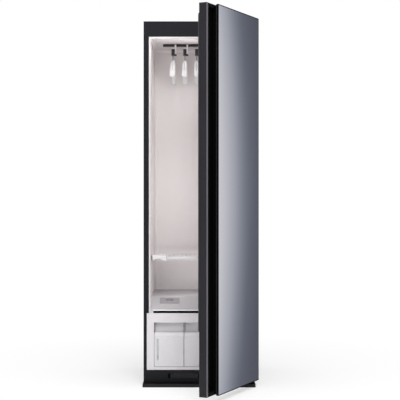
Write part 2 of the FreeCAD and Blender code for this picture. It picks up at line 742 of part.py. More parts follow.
def liner_back():
    """Rear wall of the chamber with a cove into each side wall."""
    start, end = CHAMBER_BACK - COVE_RADIUS, CHAMBER_BACK
    outer = CHAMBER_HALF + LINER
    slant = COVE_RADIUS * math.sqrt(0.5)
    flat = CHAMBER_HALF - COVE_RADIUS

    def p(x, y):
        return V(x, y, DECK_HEIGHT)

    def cove(side):
        ends = [p(side * CHAMBER_HALF, start), p(side * flat, end)]
        middle = p(side * (flat + slant), start + slant)
        return Part.Arc(ends[0], middle, ends[1]).toShape()

    lines = [
        (p(-CHAMBER_HALF, start), p(-outer, start)),
        (p(-outer, start), p(-outer, end + LINER)),
        (p(-outer, end + LINER), p(outer, end + LINER)),
        (p(outer, end + LINER), p(outer, start)),
        (p(outer, start), p(CHAMBER_HALF, start)),
        (p(flat, end), p(-flat, end)),
    ]
    edges = [Part.makeLine(a, b) for a, b in lines] + [cove(LEFT), cove(RIGHT)]
    outline = Part.Wire(Part.__sortEdges__(edges))
    return Part.Face(outline).extrude(V(0, 0, CEILING - DECK_HEIGHT))


def liner_ceiling():
    """Ceiling with rows of air holes near the front."""
    outer = CHAMBER_HALF + LINER
    plate = box((-outer, outer), (FRONT + TRIM_DEPTH, CHAMBER_BACK + LINER), (CEILING, OPENING_TOP))
    holes = []
    for row in range(AIR_HOLE_ROWS):
        y = FRONT + AIR_HOLE_START + row * AIR_HOLE_PITCH
        for column in range(AIR_HOLE_COLUMNS):
            x = (column - (AIR_HOLE_COLUMNS - 1) / 2) * AIR_HOLE_PITCH
            holes.append(rod(AIR_HOLE_RADIUS, CEILING, OPENING_TOP, x, y))
    return cut(plate, [group(holes)])


def on_slope(shape):
    """Moves a piece drawn about the origin onto the sloped floor, its z axis square to the slope."""
    placed = shape.copy()
    placed.rotate(V(0, 0, 0), ALONG_X, math.degrees(SLOPE_ANGLE))
    depth = LIP_DEPTH + (FILTER_CENTRE_Z - LIP_TOP) / math.tan(SLOPE_ANGLE)
    placed.translate(V(0, FRONT + depth, FILTER_CENTRE_Z))
    return placed


def filter_span(border):
    """Left and right limits of the filter's cassette with a border taken off."""
    return FILTER_LEFT + border, FILTER_LEFT + FILTER_WIDTH - border


def chamber_floor():
    """Lip, slope and deck in one sheet, with the pocket that the lint filter stands in."""
    bend = FLOOR_SHEET * math.tan(SLOPE_ANGLE / 2)
    top, foot = FRONT + LIP_DEPTH, FRONT + LIP_DEPTH + SLOPE_DEPTH
    back = CHAMBER_BACK + LINER
    profile = [
        (FRONT, LIP_BOTTOM),
        (FRONT, LIP_TOP),
        (top, LIP_TOP),
        (foot, DECK_HEIGHT),
        (back, DECK_HEIGHT),
        (back, DECK_HEIGHT - FLOOR_SHEET),
        (foot + bend, DECK_HEIGHT - FLOOR_SHEET),
        (top + bend, LIP_TOP - FLOOR_SHEET),
        (FRONT + FLOOR_SHEET, LIP_TOP - FLOOR_SHEET),
        (FRONT + FLOOR_SHEET, LIP_BOTTOM),
    ]
    sheet = extruded_x(profile, (-CHAMBER_HALF, CHAMBER_HALF))
    half = FILTER_LENGTH / 2 - FILTER_BORDER + FILTER_POCKET_GAP
    wall, gap = FILTER_POCKET_WALL, FILTER_POCKET_GAP
    left, right = filter_span(FILTER_BORDER - gap)
    bottom = -FILTER_DEPTH - gap
    shell = box((left - wall, right + wall), both_sides(half + wall), (bottom - wall, -FLOOR_SHEET / 2))
    hollow = box((left, right), both_sides(half), (bottom, FLOOR_SHEET))
    return cut(joined([sheet, on_slope(shell)]), [on_slope(hollow), nozzle_pipe(BORE_FIT)])


def lint_filter():
    """Cassette with a barred screen, a face plate that lies on the slope and a tab to pull."""
    half = FILTER_LENGTH / 2
    face = box(filter_span(0), (-half, half), (FILTER_SEAT_GAP, FILTER_SEAT_GAP + FILTER_FACE))
    face = rounded(face, FILTER_BORDER, UP)
    span = filter_span(FILTER_BORDER)
    depth = half - FILTER_BORDER
    body = box(span, (-depth, depth), (-FILTER_DEPTH, FILTER_SEAT_GAP))
    screen = (FILTER_RIM - FILTER_DEPTH, -FILTER_RIM)
    window = box((span[0] + FILTER_RIM, span[1] - FILTER_RIM), both_sides(depth), screen)
    pitch = (span[1] - span[0] - 2 * FILTER_RIM) / (FILTER_BARS + 1)
    bars = []
    for i in range(FILTER_BARS):
        x = span[0] + FILTER_RIM + (i + 1) * pitch
        bars.append(box(around(x, FILTER_BAR), both_sides(FILTER_BAR), screen))
    middle = FILTER_LEFT + FILTER_WIDTH / 2
    base = FILTER_SEAT_GAP + FILTER_FACE
    height = (base, base + FILTER_TAB_HEIGHT)
    tab = box(around(middle, FILTER_TAB_WIDTH), around(0, FILTER_TAB_THICKNESS), height)
    tab = rounded(tab, FILTER_TAB_THICKNESS, ALONG_Y, lambda m: m.z > base + TOUCH)
    return on_slope(joined([face, cut(body, [window]), tab] + bars))


def shelf():
    """Shelf with a raised ear on each side that comes forward, and slots for the air."""
    back, front, ear = FRONT + SHELF_BACK, FRONT + SHELF_FRONT, FRONT + SHELF_EAR_FRONT
    board = box((-SHELF_HALF, SHELF_HALF), (front, back), (SHELF_BOTTOM, SHELF_TOP))
    ears = []
    under = SHELF_TOP - SHELF_EAR_DROP
    for side in (LEFT, RIGHT):
        span = sorted((side * (SHELF_HALF - SHELF_EAR_WIDTH), side * SHELF_HALF))
        block = box(span, (ear, front), (under, SHELF_TOP + SHELF_EAR_RISE))
        arch_inner = side * (SHELF_HALF - SHELF_EAR_WIDTH + SHELF_EAR_INNER_FOOT)
        arch = sorted((arch_inner, side * (SHELF_HALF - SHELF_EAR_OUTER_FOOT)))
        hollow = box(arch, (ear, front), (under, under + SHELF_EAR_ARCH))
        ears.append(cut(block, [hollow]))
    body = joined([board] + ears)
    body = rounded(body, SHELF_ROUND, UP, lambda m: abs(m.x) > SHELF_HALF - TOUCH)
    middle = (front + back) / 2
    slots = []
    for i in range(SHELF_SLOTS):
        x = (i - (SHELF_SLOTS - 1) / 2) * SHELF_SLOT_PITCH
        run = around(middle, SHELF_SLOT_LENGTH)
        slots.append(box(around(x, SHELF_SLOT_WIDTH), run, (SHELF_BOTTOM, SHELF_TOP)))
    return cut(body, [group(slots)])


# ---- hanging gear
def hanger_places():
    """X of each hanger post."""
    return [(i - (HANGERS - 1) / 2) * HANGER_PITCH for i in range(HANGERS)]


def hanger_rail():
    """Dark rail under the ceiling."""
    bar = box(
        both_sides(CHAMBER_HALF - RAIL_END_GAP),
        (SOCKET_BACK, SOCKET_BACK + RAIL_DEPTH),
        (CEILING - RAIL_HEIGHT, CEILING),
    )
    return rounded(bar, RAIL_ROUND, UP)


def hanger_posts():
    """Bright posts on the rail's front face, one for each hanger."""
    low, high = SOCKET_BOTTOM + SOCKET_FOOT, CEILING - POST_TOP_GAP
    posts = []
    for x in hanger_places():
        post = box(around(x, POST_WIDTH), (SOCKET_BACK - POST_DEPTH, SOCKET_BACK), (low, high))
        posts.append(rounded(post, POST_WIDTH / 4, UP, lambda m: m.y < SOCKET_BACK - TOUCH))
    return group(posts)


def pivot_x(x):
    """X of the pivot of the hanger beside the post at x."""
    return x - POST_WIDTH / 2 - SOCKET_WIDTH / 2


def pivot_y():
    """Y of the pivots, in the middle of the sockets."""
    return SOCKET_BACK - POST_DEPTH / 2


def hanger_sockets():
    """Dark sockets beside the posts; each has a bore across it for the hanger's pivot."""
    y = pivot_y()
    sides = around(y, SOCKET_DEPTH)
    sockets = []
    for x in hanger_places():
        left, right = x - POST_WIDTH / 2 - SOCKET_WIDTH, x - POST_WIDTH / 2
        bulge = box((left, right), sides, (SOCKET_BOTTOM, SOCKET_BOTTOM + SOCKET_HEIGHT))
        bulge = rounded(bulge, SOCKET_ROUND, ALONG_X, lambda m: m.z > SOCKET_BOTTOM + TOUCH)
        foot_end = right + POST_WIDTH + SOCKET_FOOT_OVERHANG
        foot = box((left, foot_end), sides, (SOCKET_BOTTOM, SOCKET_BOTTOM + SOCKET_FOOT))
        half = PIVOT_HALF_LENGTH + PIVOT_END_GAP
        start = V(pivot_x(x) - half, y, PIVOT_Z)
        bore = Part.makeCylinder(PIVOT_RADIUS + PIVOT_FIT, 2 * half, start, ALONG_X)
        slot_width = 2 * (STEM_RADIUS + STEM_SIDE_GAP)
        slot_length = 2 * (STEM_RADIUS + STEM_SWING_GAP)
        slot = box(around(pivot_x(x), slot_width), around(y, slot_length), (SOCKET_BOTTOM, PIVOT_Z))
        sockets.append(cut(joined([bulge, foot]), [bore, slot]))
    return group(sockets)


def hanger(post):
    """One hanger: cross pivot, stem, neck, knob and shoulders that run from front to back."""
    x, y = pivot_x(post), pivot_y()
    pivot_start = V(x - PIVOT_HALF_LENGTH, y, PIVOT_Z)
    pivot = Part.makeCylinder(PIVOT_RADIUS, 2 * PIVOT_HALF_LENGTH, pivot_start, ALONG_X)
    stem = rod(STEM_RADIUS, KNOB_TOP, PIVOT_Z, x, y)
    neck = rod(NECK_RADIUS, KNOB_TOP - KNOB_RADIUS, SOCKET_BOTTOM - NECK_TOP_GAP, x, y)
    knob = rod(KNOB_RADIUS, HANGER_CENTRE_Z - HANGER_CENTRE_THICKNESS / 2, KNOB_TOP, x, y)
    low = HANGER_CENTRE_Z - HANGER_END_DROP
    under = HANGER_CENTRE_Z - HANGER_CENTRE_THICKNESS

    def p(dy, z):
        return V(x - HANGER_WIDTH / 2, y + dy, z)

    length = HANGER_HALF_LENGTH
    top = Part.Arc(p(-length, low), p(0, HANGER_CENTRE_Z), p(length, low)).toShape()
    end = Part.makeLine(p(length, low), p(length, low - HANGER_END_THICKNESS))
    bottom = Part.Arc(
        p(length, low - HANGER_END_THICKNESS), p(0, under), p(-length, low - HANGER_END_THICKNESS)
    ).toShape()
    start = Part.makeLine(p(-length, low - HANGER_END_THICKNESS), p(-length, low))
    shoulders = Part.Face(Part.Wire([top, end, bottom, start])).extrude(V(HANGER_WIDTH, 0, 0))
    shoulders = rounded(shoulders, HANGER_ROUND, ALONG_X)
    return joined([shoulders, knob, neck, stem, pivot])


# ---- tank bay
def section_centre(index):
    """X of the middle of one of the bay's sections, counted from the left."""
    return -BAY_HALF + (index + 0.5) * SECTION


def bay_fascia():
    """White front of the bay, with one window for the three sections."""
    half = HALF - NARROW_STILE_WIDTH
    plate = box((-half, half), (FRONT, FRONT + FASCIA_THICKNESS), (PLINTH_TOP, FASCIA_TOP))
    window = box(
        (-BAY_HALF, BAY_HALF), (FRONT, FRONT + FASCIA_THICKNESS), (FASCIA_WINDOW_BOTTOM, FASCIA_WINDOW_TOP)
    )
    return cut(plate, [window])


def tank_bay():
    """Floor, side walls, dividers, back and top of the space that the tanks slide into."""
    front, back = FRONT + FASCIA_THICKNESS, FRONT + BAY_DEPTH
    half = BAY_HALF + BAY_WALL
    pieces = [
        box((-half, half), (front, back), (BAY_FLOOR_Z - BAY_WALL, BAY_FLOOR_Z)),
        box((-half, half), (back - BAY_WALL, back), (BAY_FLOOR_Z - BAY_WALL, BAY_CEILING)),
        box((-half, half), (front, back), (BAY_CEILING, BAY_CEILING + BAY_WALL)),
    ]
    for side in (LEFT, RIGHT):
        span = sorted((side * BAY_HALF, side * half))
        pieces.append(box(span, (front, back), (TRAY_TOP, BAY_CEILING + BAY_WALL)))
    for i in range(1, BAY_SECTIONS):
        x = -BAY_HALF + i * SECTION
        depth = (FRONT + BAY_DIVIDER_SETBACK, back)
        pieces.append(box(around(x, BAY_WALL), depth, (BAY_FLOOR_Z, BAY_CEILING)))
    return joined(pieces)


def tank_face_profile():
    """Side outline of a section's front plate, with its top edge leaning back."""
    thick = TANK_FACE_THICKNESS
    return [
        (FRONT, TANK_FACE_BOTTOM),
        (FRONT, TANK_FACE_BEND),
        (FRONT + TANK_FACE_LEAN, TANK_FACE_TOP),
        (FRONT + TANK_FACE_LEAN + thick, TANK_FACE_TOP),
        (FRONT + thick, TANK_FACE_BEND),
        (FRONT + thick, TANK_FACE_BOTTOM),
    ]


def face_span(centre):
    """Left and right limits of a section's front plate."""
    half = SECTION / 2 - TANK_GROOVE
    return centre - half, centre + half


def tank_front(centre, level_window):
    """Front plate of a tank, with a level window if the tank has one."""
    plate = extruded_x(tank_face_profile(), face_span(centre))
    if not level_window:
        return plate
    left = face_span(centre)[0] + WINDOW_FROM_EDGE
    depth = (FRONT, FRONT + TANK_FACE_THICKNESS)
    window = box((left, left + WINDOW_WIDTH), depth, (WINDOW_BOTTOM, WINDOW_TOP))
    return cut(plate, [window])


def tank_outline(inset):
    """Side outline of a tank, stepped at the front for the grip; inset moves it inwards."""
    front, back = FRONT + TANK_FACE_THICKNESS + inset, TANK_BACK - inset
    bottom, top = BAY_FLOOR_Z + TANK_SEAT_GAP + inset, TANK_TOP - inset
    step, ledge = FRONT + GRIP_DEPTH + inset, GRIP_FLOOR - inset
    return [(front, bottom), (back, bottom), (back, top), (step, top), (step, ledge), (front, ledge)]


def tank(centre):
    """Water tank behind its front plate, with a filler neck on top."""
    half = SECTION / 2 - BAY_WALL / 2 - TANK_SIDE_GAP
    outer = extruded_x(tank_outline(0), (centre - half, centre + half))
    outer = rounded(outer, TANK_ROUND, UP, lambda m: m.y > TANK_BACK - TOUCH)
    inner = extruded_x(tank_outline(TANK_WALL), (centre - half + TANK_WALL, centre + half - TANK_WALL))
    y = FRONT + FILLER_SETBACK
    neck = rod(FILLER_RADIUS + FILLER_NECK_WALL, TANK_TOP - TANK_WALL, FILLER_TOP, centre, y)
    bore = rod(FILLER_RADIUS, TANK_TOP - TANK_WALL, FILLER_TOP, centre, y)
    return cut(joined([cut(outer, [inner]), neck]), [bore])


def tank_cap(centre):
    """Cap over a tank's filler neck, with a bar across it to turn it by."""
    y = FRONT + FILLER_SETBACK
    inside = FILLER_RADIUS + FILLER_NECK_WALL + CAP_GAP
    outer = rod(inside + CAP_WALL, TANK_TOP + CAP_GAP, CAP_UPPER, centre, y)
    outer = outer.makeFillet(CAP_TOP / 2, upper_rims(outer, CAP_UPPER - CAP_TOP / 2))
    hollow = rod(inside, TANK_TOP + CAP_GAP, FILLER_TOP + CAP_GAP, centre, y)
    height = (CAP_UPPER, CAP_UPPER + CAP_GRIP_HEIGHT)
    bar = box(around(centre, 2 * (inside - CAP_WALL)), around(y, CAP_GRIP_WIDTH), height)
    return joined([cut(outer, [hollow]), bar])


def blank_cover(centre):
    """Fixed cover of the section without a tank, shaped like a tank front with its grip recess."""
    plate = extruded_x(tank_face_profile(), face_span(centre))
    thick = TANK_FACE_THICKNESS
    step = FRONT + GRIP_DEPTH
    bottom = GRIP_FLOOR - thick
    top = FASCIA_WINDOW_TOP
    recess = extruded_x(
        [
            (FRONT + thick, bottom),
            (step + thick, bottom),
            (step + thick, top),
            (step, top),
            (step, GRIP_FLOOR),
            (FRONT + thick, GRIP_FLOOR),
        ],
        face_span(centre),
    )
    leg = extruded_x(
        [
            (FRONT + thick, BAY_FLOOR_Z),
            (step + thick, BAY_FLOOR_Z),
            (step + thick, BAY_FLOOR_Z + thick),
            (FRONT + thick, BAY_FLOOR_Z + thick),
        ],
        face_span(centre),
    )
    return joined([plate, recess, leg])


# ---- door, each piece drawn closed
def opened(shape):
    """Turns a piece drawn closed to the door's rest position."""
    turned = shape.copy()
    turned.rotate(HINGE, UP, DOOR_REST_ANGLE)
    return turned


def upper_block():
    """Region of the door's upper hinge corner."""
    return box((BLOCK_X, HALF), (DOOR_MIDDLE, DOOR_INNER), (UPPER_BLOCK_BOTTOM, DOOR_TOP))


def lower_block():
    """Region of the door's lower hinge corner."""
    return box((BLOCK_X, HALF), (DOOR_MIDDLE, DOOR_INNER), (DOOR_BOTTOM, LOWER_BLOCK_TOP))


def hinge_notch():
    """Space in the door's upper corner that the hinge arm sweeps."""
    return box((NOTCH_X, HALF), (DOOR_MIDDLE, DOOR_INNER), (HINGE_NOTCH_BOTTOM, DOOR_TOP))


def door_frame():
    """Edge frame of the door: three plain rails, and a hinge stile with solid corners and a notch."""
    outer = box((-HALF, HALF), (DOOR_MIDDLE, DOOR_INNER), (DOOR_BOTTOM, DOOR_TOP))
    outer = rounded(outer, DOOR_EDGE_ROUND, UP)
    hollow = box(DOOR_INSIDE_X, (DOOR_MIDDLE, DOOR_INNER), DOOR_INSIDE_Z)
    blocks = [upper_block().common(outer), lower_block().common(outer)]
    frame = joined([cut(outer, [hollow])] + blocks)
    beside_notch = (HINGE_NOTCH_BOTTOM, DOOR_TOP - DOOR_WALL)
    pocket = box((BLOCK_X, NOTCH_X - DOOR_WALL), (DOOR_MIDDLE, DOOR_INNER), beside_notch)
    bores = [
        rod(BUSH_RADIUS + BORE_FIT, DOOR_BOTTOM, LOWER_BLOCK_TOP, HINGE.x, HINGE.y),
        rod(BUSH_RADIUS + BORE_FIT, UPPER_BLOCK_BOTTOM, HINGE_NOTCH_BOTTOM, HINGE.x, HINGE.y),
    ]
    frame = cut(frame, [hinge_notch(), pocket] + bores)
    depth = (DOOR_MIDDLE, DOOR_INNER)
    inside = (DOOR_INSIDE_X[0], BLOCK_X)
    rails = [
        box((-HALF, DOOR_INSIDE_X[0]), depth, (DOOR_BOTTOM, DOOR_TOP)),
        box(inside, depth, (DOOR_BOTTOM, DOOR_INSIDE_Z[0])),
        box(inside, depth, (DOOR_INSIDE_Z[1], DOOR_TOP)),
    ]
    return group([frame.common(rail) for rail in rails] + [cut(frame, rails)])


def hinge_bushes():
    """Flanged bushes in the door's two hinge corners."""
    bore = HINGE_PIN_RADIUS + HINGE_FIT

    def bush(tube, collar):
        low, high = min(tube[0], collar[0]), max(tube[1], collar[1])
        sleeve = rod(BUSH_RADIUS, *tube, HINGE.x, HINGE.y)
        flange = rod(BUSH_RADIUS + BUSH_COLLAR, *collar, HINGE.x, HINGE.y)
        return cut(joined([sleeve, flange]), [rod(bore, low, high, HINGE.x, HINGE.y)])

    lower = bush((DOOR_BOTTOM, DOOR_BOTTOM + BUSH_LENGTH), (LOWER_PLATE_TOP + BUSH_SEAT_GAP, DOOR_BOTTOM))
    seat = HINGE_NOTCH_BOTTOM
    upper = bush((seat - BUSH_LENGTH, seat), (seat, UPPER_ARM_BOTTOM - BUSH_SEAT_GAP))
    return group([lower, upper])


def grip_outline(inset):
    """Plan outline of the grip channel; inset gives its inner face."""
    start = -HALF + DOOR_WALL
    pocket = -HALF + GRIP_POCKET_START
    floor = DOOR_MIDDLE + GRIP_POCKET_DEPTH + GRIP_CHANNEL_WALL - inset
    end = pocket + GRIP_POCKET_WIDTH
    rim = DOOR_MIDDLE + GRIP_CHANNEL_WALL - inset
    lean = GRIP_POCKET_SLOPE
    bend = inset * math.tan(math.atan2(GRIP_POCKET_DEPTH, lean) / 2)
    return [
        (start, rim),
        (pocket - GRIP_CHANNEL_WALL + bend, rim),
        (pocket - GRIP_CHANNEL_WALL + lean + bend, floor),
        (end + GRIP_CHANNEL_WALL - lean - bend, floor),
        (end + GRIP_CHANNEL_WALL - bend, rim),
        (-HALF + GRIP_CHANNEL_WIDTH, rim),
    ]


def grip_channel():
    """Black channel down the door's free side, a strip for each face, mitred at the bends."""
    inner = grip_outline(GRIP_CHANNEL_WALL)
    outer = grip_outline(0)
    faces = zip(outer, outer[1:], inner[1:], inner)
    return group([extruded_z(list(corners), DOOR_INSIDE_Z) for corners in faces])


def door_core():
    """Foam blocks between the door's liner and its backing, fitted round the grip channel."""
    start, left_rim, left_floor, right_floor, right_rim, end = grip_outline(0)
    depth = (left_floor[1], DOOR_INNER - DOOR_LINER)
    left_wedge = [start, left_rim, left_floor, (start[0], left_floor[1])]
    right_wedge = [right_rim, end, (end[0], right_floor[1]), right_floor]
    return group([
        extruded_z(left_wedge, DOOR_INSIDE_Z),
        extruded_z(right_wedge, DOOR_INSIDE_Z),
        box((end[0], BLOCK_X), (DOOR_MIDDLE, left_floor[1]), DOOR_INSIDE_Z),
        box((DOOR_INSIDE_X[0], BLOCK_X), depth, DOOR_INSIDE_Z),
        box((BLOCK_X, DOOR_INSIDE_X[1]), (DOOR_MIDDLE, depth[1]), (LOWER_BLOCK_TOP, UPPER_BLOCK_BOTTOM)),
    ])


def door_liner():
    """Inner skin of the door, raised in the middle where it meets the chamber."""
    sheet = box(DOOR_INSIDE_X, (DOOR_INNER - DOOR_LINER, DOOR_INNER), DOOR_INSIDE_Z)
    sheet = cut(sheet, [upper_block(), lower_block()])
    half = DOOR_PLUG_HALF_WIDTH
    plug = box((-half, half), (DOOR_INNER, DOOR_INNER + DOOR_PLUG_RAISE), (DOOR_PLUG_BOTTOM, DOOR_PLUG_TOP))
    plug = rounded(plug, DOOR_PLUG_CORNER, ALONG_Y)
    top = DOOR_INNER + DOOR_PLUG_RAISE
    plug = plug.makeFillet(DOOR_PLUG_ROUND, edges_at_depth(plug, top))
    hollow = box(
        (-half + DOOR_LINER, half - DOOR_LINER),
        (DOOR_INNER - DOOR_LINER, top - DOOR_LINER),
        (DOOR_PLUG_BOTTOM + DOOR_LINER, DOOR_PLUG_TOP - DOOR_LINER),
    )
    hollow = rounded(hollow, DOOR_PLUG_CORNER - DOOR_LINER, ALONG_Y)
    hollow = hollow.makeFillet(DOOR_PLUG_ROUND - DOOR_LINER / 2, edges_at_depth(hollow, top - DOOR_LINER))
    return cut(joined([sheet, plug]), [hollow])


def door_gasket():
    """Seal round the door's inner face."""
    left, right = -HALF + GASKET_FREE_EDGE, HINGE.x
    depth = (DOOR_INNER, FRONT - GASKET_CLEARANCE)
    outer = rounded(box((left, right), depth, (GASKET_BOTTOM, GASKET_TOP)), GASKET_WIDTH, ALONG_Y)
    height = (GASKET_BOTTOM + GASKET_WIDTH, GASKET_TOP - GASKET_WIDTH)
    inner = box((left + GASKET_WIDTH, right - GASKET_WIDTH), depth, height)
    return cut(outer, [inner])


def glass_backing():
    """Board that carries the glass."""
    left, right = GLASS_LEFT + BACKING_INSET, HALF - BACKING_INSET
    height = (GLASS_BOTTOM + BACKING_INSET, GLASS_TOP - BACKING_INSET)
    return box((left, right), (DOOR_BACKED, DOOR_MIDDLE), height)


def door_glass():
    """Mirror glass over the door's outer face, with a bevelled edge."""
    pane = box((GLASS_LEFT, HALF), (DOOR_OUTER, DOOR_BACKED), (GLASS_BOTTOM, GLASS_TOP))
    return pane.makeChamfer(GLASS_BEVEL, edges_at_depth(pane, DOOR_OUTER))


def control_panel():
    """Touch strip on the channel's floor, with a row of round key marks."""
    left = -HALF + GRIP_POCKET_START + GRIP_POCKET_SLOPE + GRIP_CHANNEL_WALL
    floor = DOOR_MIDDLE + GRIP_POCKET_DEPTH
    low = CONTROL_TOP - CONTROL_HEIGHT
    strip = box((left, left + CONTROL_WIDTH), (floor - CONTROL_THICKNESS, floor), (low, CONTROL_TOP))
    strip = rounded(strip, CONTROL_THICKNESS, ALONG_Y)
    pitch = CONTROL_HEIGHT / (CONTROL_KEYS + 1)
    face = floor - CONTROL_THICKNESS
    keys = [
        Part.makeCylinder(
            CONTROL_KEY_RADIUS,
            CONTROL_KEY_RAISE,
            V(left + CONTROL_WIDTH / 2, face - CONTROL_KEY_RAISE, low + (i + 1) * pitch),
            ALONG_Y,
        )
        for i in range(CONTROL_KEYS)
    ]
    return joined([strip] + keys)


# ---- hinge parts on the cabinet
def hinge_plate(low, high):
    """Flat arm from the front plane to the pin, with a round end."""
    half = HINGE_PLATE_HALF_WIDTH
    arm = box((HINGE.x - half, HINGE.x + half), (HINGE.y, FRONT - HINGE_FLANGE / 2), (low, high))
    return joined([arm, rod(half, low, high, HINGE.x, HINGE.y)])


def hinge_flange(low, high):
    """Flange of a hinge arm on the casing's front plane."""
    return box((HINGE_FLANGE_LEFT, INNER_HALF), (FRONT - HINGE_FLANGE, FRONT), (low, high))


def upper_hinge_arm():
    """Arm under the casing's top edge with a pin down into the door."""
    top = UPPER_ARM_BOTTOM + UPPER_ARM_THICKNESS
    flange = hinge_flange(UPPER_ARM_BOTTOM, UPPER_FLANGE_TOP)
    pin = rod(HINGE_PIN_RADIUS, UPPER_ARM_BOTTOM - UPPER_PIN_LENGTH, UPPER_ARM_BOTTOM, HINGE.x, HINGE.y)
    return cut(joined([hinge_plate(UPPER_ARM_BOTTOM, top), flange, pin]), hinge_screw_holes())


def lower_hinge_bracket():
    """Bracket below the door with a pin up into it."""
    flange = hinge_flange(LOWER_FLANGE_BOTTOM, LOWER_FLANGE_TOP)
    pin = rod(HINGE_PIN_RADIUS, LOWER_PLATE_TOP, LOWER_PLATE_TOP + LOWER_PIN_LENGTH, HINGE.x, HINGE.y)
    return cut(joined([hinge_plate(LOWER_PLATE_BOTTOM, LOWER_PLATE_TOP), flange, pin]), hinge_screw_holes())


# ---- blowers
def blower_bases():
    """Centre and bottom of the blower on the ceiling and of the one that hangs from the deck."""
    lower = DECK_HEIGHT - FLOOR_SHEET - MOTOR_HEIGHT - BLOWER_HEIGHT
    return [(*UPPER_BLOWER, OPENING_TOP), (*LOWER_BLOWER, lower)]


def fan_housings():
    """Square scroll housings, open below in the middle and with an outlet at the front."""
    housings = []
    for x, y, z in blower_bases():
        size, wall, top = BLOWER_SIZE, BLOWER_WALL, z + BLOWER_HEIGHT
        shell = rounded(box(around(x, size), around(y, size), (z, top)), BLOWER_ROUND, UP)
        inside = size - 2 * wall
        inner = box(around(x, inside), around(y, inside), (z + wall, top - wall))
        inner = rounded(inner, BLOWER_ROUND - wall, UP)
        inlet = rod(BLOWER_INLET_RADIUS, z, z + wall, x, y)
        shaft = rod(SHAFT_RADIUS + SHAFT_HOLE_GAP, top - wall, top, x, y)
        face = y - size / 2
        outlet = box(around(x, BLOWER_OUTLET), (face, face + wall), (z + 2 * wall, top - 2 * wall))
        housings.append(cut(shell, [inner, inlet, shaft, outlet]))
    return group(housings)


def fan_motors():
    """Motor on top of each housing, with its shaft down into the wheel's hub."""
    motors = []
    for x, y, z in blower_bases():
        seat = z + BLOWER_HEIGHT
        can = rod(MOTOR_RADIUS, seat, seat + MOTOR_HEIGHT, x, y)
        can = can.makeFillet(MOTOR_HEIGHT / 5, upper_rims(can, seat + MOTOR_HEIGHT / 2))
        shaft = rod(SHAFT_RADIUS, z + BLOWER_HEIGHT / 2 - WHEEL_HEIGHT / 2, seat, x, y)
        motors.append(joined([can, shaft]))
    return group(motors)


def fan_wheel(x, y, z):
    """Squirrel cage wheel: disc with a hub, a ring and upright blades between them."""
    low = z + (BLOWER_HEIGHT - WHEEL_HEIGHT) / 2
    high = low + WHEEL_HEIGHT
    disc = rod(WHEEL_RADIUS, high - WHEEL_DISC, high, x, y)
    rim = (low, low + WHEEL_DISC)
    ring = cut(rod(WHEEL_RADIUS, *rim, x, y), [rod(WHEEL_INNER_RADIUS, *rim, x, y)])
    hub = rod(WHEEL_HUB_RADIUS, low + WHEEL_DISC, high, x, y)
    blade = box(
        (WHEEL_INNER_RADIUS + WHEEL_DISC / 2, WHEEL_RADIUS - WHEEL_DISC / 2),
        (-WHEEL_BLADE_THICKNESS / 2, WHEEL_BLADE_THICKNESS / 2),
        (low + WHEEL_DISC / 2, high - WHEEL_DISC / 2),
    )
    blades = []
    for i in range(WHEEL_BLADES):
        turned = blade.copy()
        turned.rotate(V(0, 0, 0), UP, i * 360.0 / WHEEL_BLADES)
        turned.translate(V(x, y, 0))
        blades.append(turned)
    bore = rod(SHAFT_RADIUS + SHAFT_FIT, low, high, x, y)
    return cut(joined([disc, ring, hub] + blades), [bore])


# ---- heat pump, steam and water
def coil(setback):
    """Finned heat exchanger on the tray: end plates, fins, tubes and a foot strip."""
    half, y = COIL_WIDTH / 2, FRONT + setback
    depth = (y - COIL_DEPTH / 2, y + COIL_DEPTH / 2)
    height = (TRAY_TOP, TRAY_TOP + COIL_HEIGHT)
    pieces = [box((COIL_X - half, COIL_X + half), depth, (TRAY_TOP, TRAY_TOP + COIL_PLATE))]
    pitch = (COIL_WIDTH - COIL_FIN) / (COIL_FINS - 1)
    for i in range(COIL_FINS):
        left = COIL_X - half + i * pitch
        pieces.append(box((left, left + COIL_FIN), depth, height))
    rise = COIL_HEIGHT / (COIL_TUBES + 1)
    for i in range(COIL_TUBES):
        start = V(COIL_X - half, y, TRAY_TOP + (i + 1) * rise)
        pieces.append(Part.makeCylinder(COIL_TUBE_RADIUS, COIL_WIDTH, start, ALONG_X))
    return joined(pieces)


def compressor():
    """Rotary compressor can on a square foot."""
    x, y = COMPRESSOR
    low = TRAY_TOP + COMPRESSOR_FOOT_THICKNESS
    foot = box(around(x, COMPRESSOR_FOOT), around(y, COMPRESSOR_FOOT), (TRAY_TOP, low))
    foot = rounded(foot, COMPRESSOR_ROUND, UP)
    can = rod(COMPRESSOR_RADIUS, low, low + COMPRESSOR_HEIGHT, x, y)
    can = can.makeFillet(COMPRESSOR_ROUND, upper_rims(can, low + COMPRESSOR_HEIGHT / 2))
    return joined([foot, can])


def bent_pipe(points):
    """Tube along straight runs joined by tangent arcs."""
    edges = []
    start = points[0]
    for before, corner, after in zip(points, points[1:], points[2:]):
        back, ahead = (before - corner).normalize(), (after - corner).normalize()
        half = math.acos(max(-1.0, min(1.0, back.dot(ahead)))) / 2
        reach = PIPE_BEND / math.tan(half)
        first, last = corner + back * reach, corner + ahead * reach
        centre_way = (back + ahead).normalize()
        middle = corner + centre_way * (PIPE_BEND / math.sin(half) - PIPE_BEND)
        edges.append(Part.makeLine(start, first))
        edges.append(Part.Arc(first, middle, last).toShape())
        start = last
    edges.append(Part.makeLine(start, points[-1]))
    path = Part.Wire(edges)
    ring = Part.Wire([Part.makeCircle(PIPE_RADIUS, points[0], points[1] - points[0])])
    return path.makePipeShell([ring], True, False)


